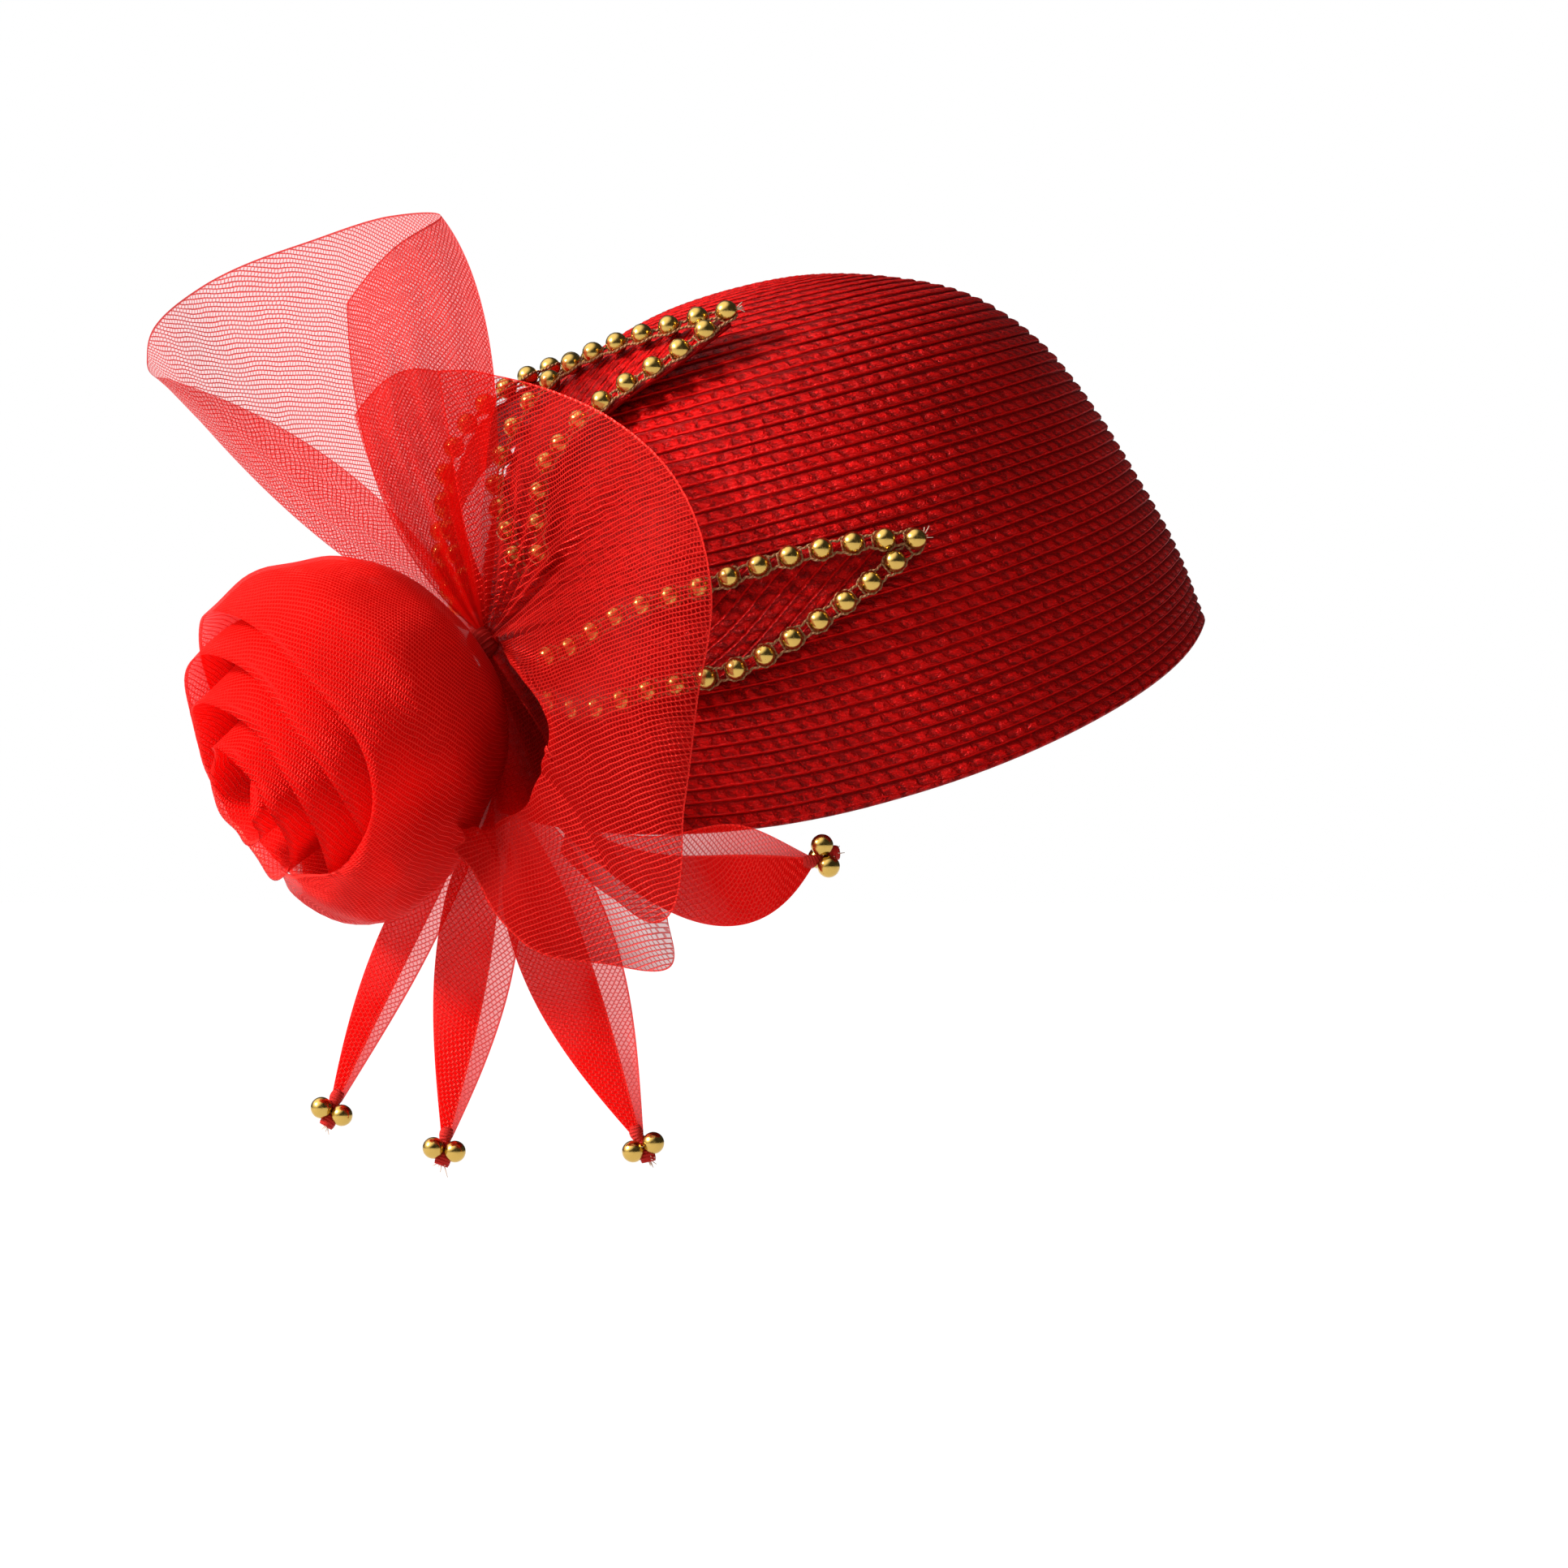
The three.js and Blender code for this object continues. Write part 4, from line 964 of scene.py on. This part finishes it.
def rose_grid(levels, inset=0.0):
    """The wound strip. Each turn rises from the knob and opens like a bowl, one inside the other."""
    axis = unit(ROSE_AXIS)
    top = unit(UP - axis * UP.dot(axis))
    side = np.cross(axis, top)
    table = np.vstack((ROSE_TURNS, ROSE_BUD))
    step = np.arange((len(table) - 1) * ROSE_STEPS + 1)
    row = read_table(table, step / ROSE_STEPS)[:, None, :]
    angle = np.radians(ROSE_START + 360 * step / ROSE_STEPS)[:, None]
    ending = np.clip((step[-1] - step) / ROSE_STEPS / ROSE_END, 0, 1)[:, None]
    level = np.asarray(levels)[None, :] * (ROSE_END_WIDTH + (1 - ROSE_END_WIDTH) * ending * (2 - ending))
    cover = np.clip(np.cos(angle - math.radians(ROSE_COVER_TURN)), 0, 1) ** 2
    cover = cover * (step < ROSE_COVER_END * ROSE_STEPS)[:, None]
    level = level * (1 + ROSE_COVER_SHARE * cover)
    over = np.maximum(level - 1, 0) / ROSE_COVER_SHARE * math.pi / 2
    level = np.minimum(level, 1)
    rim_radius, rim_height, base_radius = row[..., 0], row[..., 1], row[..., 2]
    base_height = np.sqrt((ROOT_REACH + GAP) ** 2 - base_radius ** 2)
    sweep = level * math.pi / 2
    roll = ROSE_SWELL - ROSE_CURL * np.maximum(0, 4 * level - 3)
    rise = ROSE_RISE * level + ROSE_BULGE * np.sin(math.pi * level)
    tilt = ROSE_TILT * np.cos(angle) * level ** 2
    gather = ROSE_GATHER * np.sin(angle * ROSE_GATHERS) * np.sin(math.pi * level) ** 2 * (1 - 0.4 * level)
    fold = np.sin(level * 17 + 1.4 * np.sin(angle * 1.7) + step[:, None] / ROSE_STEPS * 2.0)
    gather = gather + ROSE_FOLD * fold * np.clip(level * 2 - 0.5, 0, 1) * (1 - level ** 6)
    wave = sum(size * np.sin(angle * rate + start) for size, rate, start in ROSE_WAVES) * level ** 3
    radius = base_radius + (rim_radius - base_radius) * np.sin(sweep) + roll - inset + gather + wave * 0.5
    height = base_height + (rim_height - base_height) * (1 - np.cos(sweep)) - tilt + 0.5 * inset + wave
    radius = (radius - ROSE_COVER_IN * (1 - np.cos(over))
              + np.sin(over) * np.sin(angle * ROSE_COVER_RIPPLES))
    height = height + ROSE_COVER_ON * np.sin(over)
    return (KNOB_CENTRE + axis * height[..., None] + top * (radius * np.cos(angle) + rise)[..., None]
            + side * (radius * np.sin(angle))[..., None])


def add_rose():
    """The strip is folded along its rim, so it has an outer and an inner ply that meet there."""
    levels = np.linspace(0, 1, ROSE_LEVELS)
    outer = rose_grid(levels)
    inner = rose_grid(levels[::-1][1:ROSE_INNER_LEVELS], ROSE_PLY_SPACE)
    rim = outer[:, -1:]
    lip = (rim + inner[:, :1]) / 2 + unit(rim - outer[:, -3:-2]) * ROSE_LIP
    grid = np.concatenate((outer, lip, inner), axis=1)
    weave, hem, close = sheet_net(grid, 26, "sx", (0.6, 0.7, 0.75, 0.8, 0.9), ROSE_COARSE, ROSE_BIAS)
    across = arc_lengths(grid, axis=1)
    from_fold = np.abs(across - across[:, ROSE_LEVELS:ROSE_LEVELS + 1])
    close = close * (1 - 0.4 * np.exp(-(from_fold / 7) ** 2))
    net = Net()
    net.add_grid(grid, weave, np.minimum(hem, from_fold), close)
    # The rose takes the crinoline brightened by painted light.
    bright = material("crinoline_painted_brighter", crinoline_net, *BRIGHTENED_PAINTED_LIGHT)
    piece = net.piece("crinoline_rose", bright, "crinoline")
    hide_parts("rose")


def fan_grid(ribs, steps, levels, ripples, depth, lipped):
    """A fanned sheet with soft gathers that fade towards the knob and the rim."""
    position = np.linspace(0, len(ribs) - 1, steps)
    level = np.linspace(0, 1, levels)
    rib = read_table(ribs, position)[:, None, :]
    points = lipped_points if lipped else rib_points
    grid = KNOB_CENTRE + points(np.broadcast_to(rib, (steps, levels, 6)),
                                np.broadcast_to(level, (steps, levels)))
    place = (position / (len(ribs) - 1) * 2 * math.pi)[:, None, None]
    soft = np.sin(place * ripples) * np.sin(math.pi * level ** 0.7)[None, :, None] * depth
    pleats = np.sin(place * ripples * PLEAT_RATE) * (level * (1 - level) ** 2)[None, :, None] * PLEAT_DEPTH
    if lipped:
        pleats = pleats * np.clip((LIP_START - rib[..., 0:1]) / LIP_BLEND, 0, 1)
    normals = unit(np.cross(np.gradient(grid, axis=0), np.gradient(grid, axis=1)))
    return grid + normals * (soft + pleats)


def add_fan(name, node, ribs, steps, levels, hems, ripples, depth, close, lipped=False):
    """A lipped sheet's threads keep their direction all round the knob, and another's turn with it."""
    grid = fan_grid(ribs, steps, levels, ripples, depth, lipped)
    weave, hem, close = sheet_net(grid, int(levels * FAN_TRUE), hems, close)
    if lipped:
        folded = np.clip((ribs[:, 0] - LIP_START) / LIP_BLEND, 0, 1)
        folded = np.interp(np.linspace(0, len(ribs) - 1, steps), np.arange(len(ribs)), folded)[:, None]
        inner = np.clip((RETURN_SHARE + RETURN_FADE - np.linspace(0, 1, levels)) / RETURN_FADE, 0, 1)
        close = np.maximum(close, RETURN_CLOSE * folded * inner)
        weave = np.stack((grid @ THREAD_RISE, grid @ THREAD_RUN), axis=-1) / LIPPED_COARSE
    net = Net()
    net.add_grid(grid, weave, hem, close)
    # The ruffle and its tail take the crinoline darkened by painted shade. The loop and inner fold take it
    # with painted backlight, which makes the haze brighter and the threads darker.
    cloth = (material("crinoline_painted_shade", crinoline_net, *OVER_CROWN_PAINTED_SHADE) if lipped
             else material("crinoline_painted_backlight", crinoline_net, *BACKLIT_PAINTED_LIGHT))
    piece = net.piece(name, cloth, "crinoline")
    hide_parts(node)


def add_loop():
    add_fan("crinoline_loop", "loop", LOOP_RIBS, 200, 70, "rsx", 7, 0.7,
            (0.25, 0.25, 0.3, 0.25, 0.05, 0.0, 0.0, 0.1, 0.38, 0.48))
    add_fan("crinoline_inner_fold", "inner_fold", INNER_RIBS, 60, 50, "r", 3, 0.5,
            (0.5,))


def add_ruffle():
    add_fan("crinoline_ruffle", "ruffle", RUFFLE_RIBS, 200, 80, "rsx", 6, 0.8,
            (0.2, 0.1, 0.05, 0.05, 0.1, 0.2, 0.4, 0.65, 0.85, 0.95), lipped=True)
    add_fan("crinoline_tail", "ruffle_tail", TAIL_RIBS, 90, 80, "rsx", 4, 0.6,
            (1.0, 1.0, 1.0, 1.0, 0.85, 0.35, 0.4), lipped=True)


def petal_grid(row, stations=90, section_points=49):
    """A strip folded lengthwise round a soft bend, widest near its middle or towards its tip."""
    level = np.linspace(0, 1, stations)
    point, _, sideways, face = petal_frame(row, level)
    width, widest = row[7:]
    ends = PETAL_ROOT_WIDTH + (PETAL_TIP_WIDTH - PETAL_ROOT_WIDTH) * level
    half_width = (ends + (width - ends) * np.sin(math.pi * level ** widest)) / 2
    section = read_table(PETAL_SECTION, np.linspace(0, len(PETAL_SECTION) - 1, section_points))
    across = section[None, :, 0:1] * half_width[:, None, None]
    ply = section[None, :, 1:2] * PETAL_PLY_SPACE / 2 * (0.75 + 0.5 * np.sin(math.pi * level))[:, None, None]
    return point[:, None] + sideways[:, None] * across + face[:, None] * ply


def add_petals():
    # The petals take the crinoline brightened by painted light, as the rose does.
    bright = material("crinoline_painted_brighter", crinoline_net, *BRIGHTENED_PAINTED_LIGHT)
    for index, (row, (width, length, area)) in enumerate(zip(PETAL_ROWS, PETAL_FLATS)):
        grid = petal_grid(row)
        weave, hem, close = sheet_net(grid, 20, "r", (0.55, 0.48, 0.6, 0.95), PETAL_COARSE)
        hem = np.minimum(hem, arc_lengths(grid, axis=1))
        back_to_front = np.linspace(0, 0.4, grid.shape[1])
        net = Net()
        net.add_grid(grid, weave, hem, np.clip(close + back_to_front, 0, 1))
        piece = net.piece(f"crinoline_petal_{index + 1}", bright, "crinoline")
        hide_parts(f"petal_{index + 1}")


def add_tips():
    """Three beads round the bound end of each petal, with the threads' ends loose past them."""
    for index, row in enumerate(PETAL_ROWS):
        point, tangent, sideways, face = (v[0] for v in petal_frame(row, np.array([1.0])))
        start = point + tangent * GAP
        beads, knot, ends = Net(), Net(), Net()
        for place in range(TIP_BEAD_COUNT):
            angle = math.radians(TIP_BEAD_TURN + 360 * place / TIP_BEAD_COUNT)
            centre = (start + tangent * (TIP_BEAD_RADIUS + GAP) + sideways * TIP_BEAD_RING * math.cos(angle)
                      + face * TIP_BEAD_RING * math.sin(angle))
            ball(beads, centre, TIP_BEAD_RADIUS, tangent)
        t = np.linspace(0, 1, 14)
        swell = 1.55 + 0.55 * np.sin(t * 9.0) + 0.4 * t
        path = (start + tangent * (t * TIP_KNOT_LENGTH - TIP_KNOT_START)[:, None]
                + sideways * (0.35 * np.sin(t * 7))[:, None])
        tube(knot, path, swell, 14)
        fray(ends, start + tangent * 6.8, tangent + face * 0.3, 3.4, 9, 31 + index)
        fray(ends, start + tangent * 3.5, tangent * 0.8 + face, 3.2, 6, 51 + index)
        cluster = beads.piece(f"tip_beads_{index + 1}", material("gold_plating", gold_plating), "gold_bead")
        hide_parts(f"beaded_tip_{index + 1}")
        # The bound ends take the same gathered crinoline darkened by painted shade.
        bound = material("painted_shade_gathered_crinoline", painted_shade_gathered_crinoline)
        knot.piece(f"tip_knot_{index + 1}", bound, "crinoline")
        ends.piece(f"tip_fray_{index + 1}", material("frayed_thread", frayed_thread), "gold_bead")


# Stage


def area_light(name, location, target, size, power, tint=(1, 1, 1), shine=True):
    data = bpy.data.lights.new(name, "AREA")
    data.shape = "DISK"
    data.size = size
    data.energy = power
    data.color = tint
    lamp = bpy.data.objects.new(name, data)
    lamp.location = location
    lamp.rotation_euler = (Vector(target) - Vector(location)).to_track_quat("-Z", "Y").to_euler()
    lamp.visible_glossy = shine
    bpy.context.scene.collection.objects.link(lamp)


def add_world():
    """White seen by the camera. As a light it is brighter above and at the hat's front."""
    world = bpy.data.worlds.new("studio")
    bpy.context.scene.world = world
    n = Nodes(world, "ShaderNodeOutputWorld")
    facing = n.add("VectorMath", {0: n.add("TexCoord", output="Generated"), 1: unit(np.array(SKY_WAY))},
                   output="Value", operation="DOT_PRODUCT")
    strength = n.mix_values(n.add("LightPath", output="Is Glossy Ray"),
                            n.ramp(facing, *SKY_RAMP, smooth=False), n.ramp(facing, *SHINE_RAMP))
    strength = n.mix_values(n.add("LightPath", output="Is Camera Ray"), strength, 1.0)
    n.finish(n.add("Background", {"Color": WHITE, "Strength": strength}))


def add_floor():
    drop = sizes().floor_drop
    corners = [(x * FLOOR_HALF, y * FLOOR_HALF, -drop) for x, y in ((-1, -1), (1, -1), (1, 1), (-1, 1))]
    mesh = bpy.data.meshes.new("floor")
    mesh.from_pydata(corners, [], [(0, 1, 2, 3)])
    mesh.materials.append(material("pale_floor", pale_floor))
    floor = bpy.data.objects.new("floor", mesh)
    bpy.context.scene.collection.objects.link(floor)


def add_camera():
    data = bpy.data.cameras.new("camera")
    data.sensor_width = SENSOR
    data.lens = SENSOR * -CAMERA_SPOT[1] / VIEW_WIDTH
    data.clip_end = 100.0
    camera = bpy.data.objects.new("camera", data)
    camera.location = [c * MM for c in CAMERA_SPOT]
    camera.rotation_euler = (math.pi / 2, 0, 0)
    bpy.context.scene.collection.objects.link(camera)
    bpy.context.scene.camera = camera


def add_stage():
    add_world()
    add_floor()
    area_light("key", (-1.8, -0.7, 1.1), (0, 0, 0), 0.5, 96.0, (1.0, 0.98, 0.95))
    area_light("back_glow", (-0.9, 1.5, 0.3), (-0.1, 0, 0), 1.2, 20.0, shine=False)
    add_camera()
    view = bpy.context.scene.view_settings
    view.view_transform = "Standard"
    view.look = "None"


def maker(identifier, label, words, build):
    """One operator for a piece or a group of like pieces."""

    def execute(self, context):
        build()
        return {"FINISHED"}

    return type(f"HAT_OT_{identifier}", (bpy.types.Operator,), {
        "__doc__": words,
        "bl_idname": f"hat.{identifier}",
        "bl_label": label,
        "bl_options": {"REGISTER", "UNDO"},
        "execute": execute,
    })


MAKERS = (
    maker("stage", "Stage", "Camera, lamps, floor and background", add_stage),
    maker("crown", "Crown", "Rows of straw braid from the tip to the rim", add_crown),
    maker("leaves", "Leaves", "Three straw leaves on the crown", add_leaves),
    maker("bead_strings", "Bead strings", "Gold beads and their tape along the leaves", add_bead_strings),
    maker("knob", "Knob", "Gathered ends of the crinoline", add_knob),
    maker("rose", "Rose", "Wound crinoline rose", add_rose),
    maker("loop", "Loop", "Open loop of crinoline and the fold inside it", add_loop),
    maker("ruffle", "Ruffle", "Flared ruffle and its tail", add_ruffle),
    maker("petals", "Petals", "Folded petals below the rim", add_petals),
    maker("tips", "Petal tips", "Bound petal ends with their beads", add_tips),
)


class HAT_PT_sidebar(bpy.types.Panel):
    """Buttons for the hat's pieces"""

    bl_idname = "HAT_PT_sidebar"
    bl_label = "Church hat"
    bl_space_type = "VIEW_3D"
    bl_region_type = "UI"
    bl_category = "Hat"

    def draw(self, context):
        column = self.layout.column()
        for operator in MAKERS:
            column.operator(operator.bl_idname)
        for group in (context.scene.hat_sizes, context.scene.hat_colours):
            for name in group.bl_rna.properties.keys():
                if name not in ("rna_type", "name"):
                    column.prop(group, name)


CLASSES = (HatSizes, HatColours, *MAKERS, HAT_PT_sidebar)


def register():
    for item in CLASSES:
        bpy.utils.register_class(item)
    bpy.types.Scene.hat_sizes = bpy.props.PointerProperty(type=HatSizes)
    bpy.types.Scene.hat_colours = bpy.props.PointerProperty(type=HatColours)


def unregister():
    del bpy.types.Scene.hat_colours
    del bpy.types.Scene.hat_sizes
    for item in reversed(CLASSES):
        bpy.utils.unregister_class(item)


def main():
    register()
    for operator in MAKERS:
        getattr(bpy.ops.hat, operator.bl_idname.split(".")[1])()


if __name__ == "__main__":
    main()
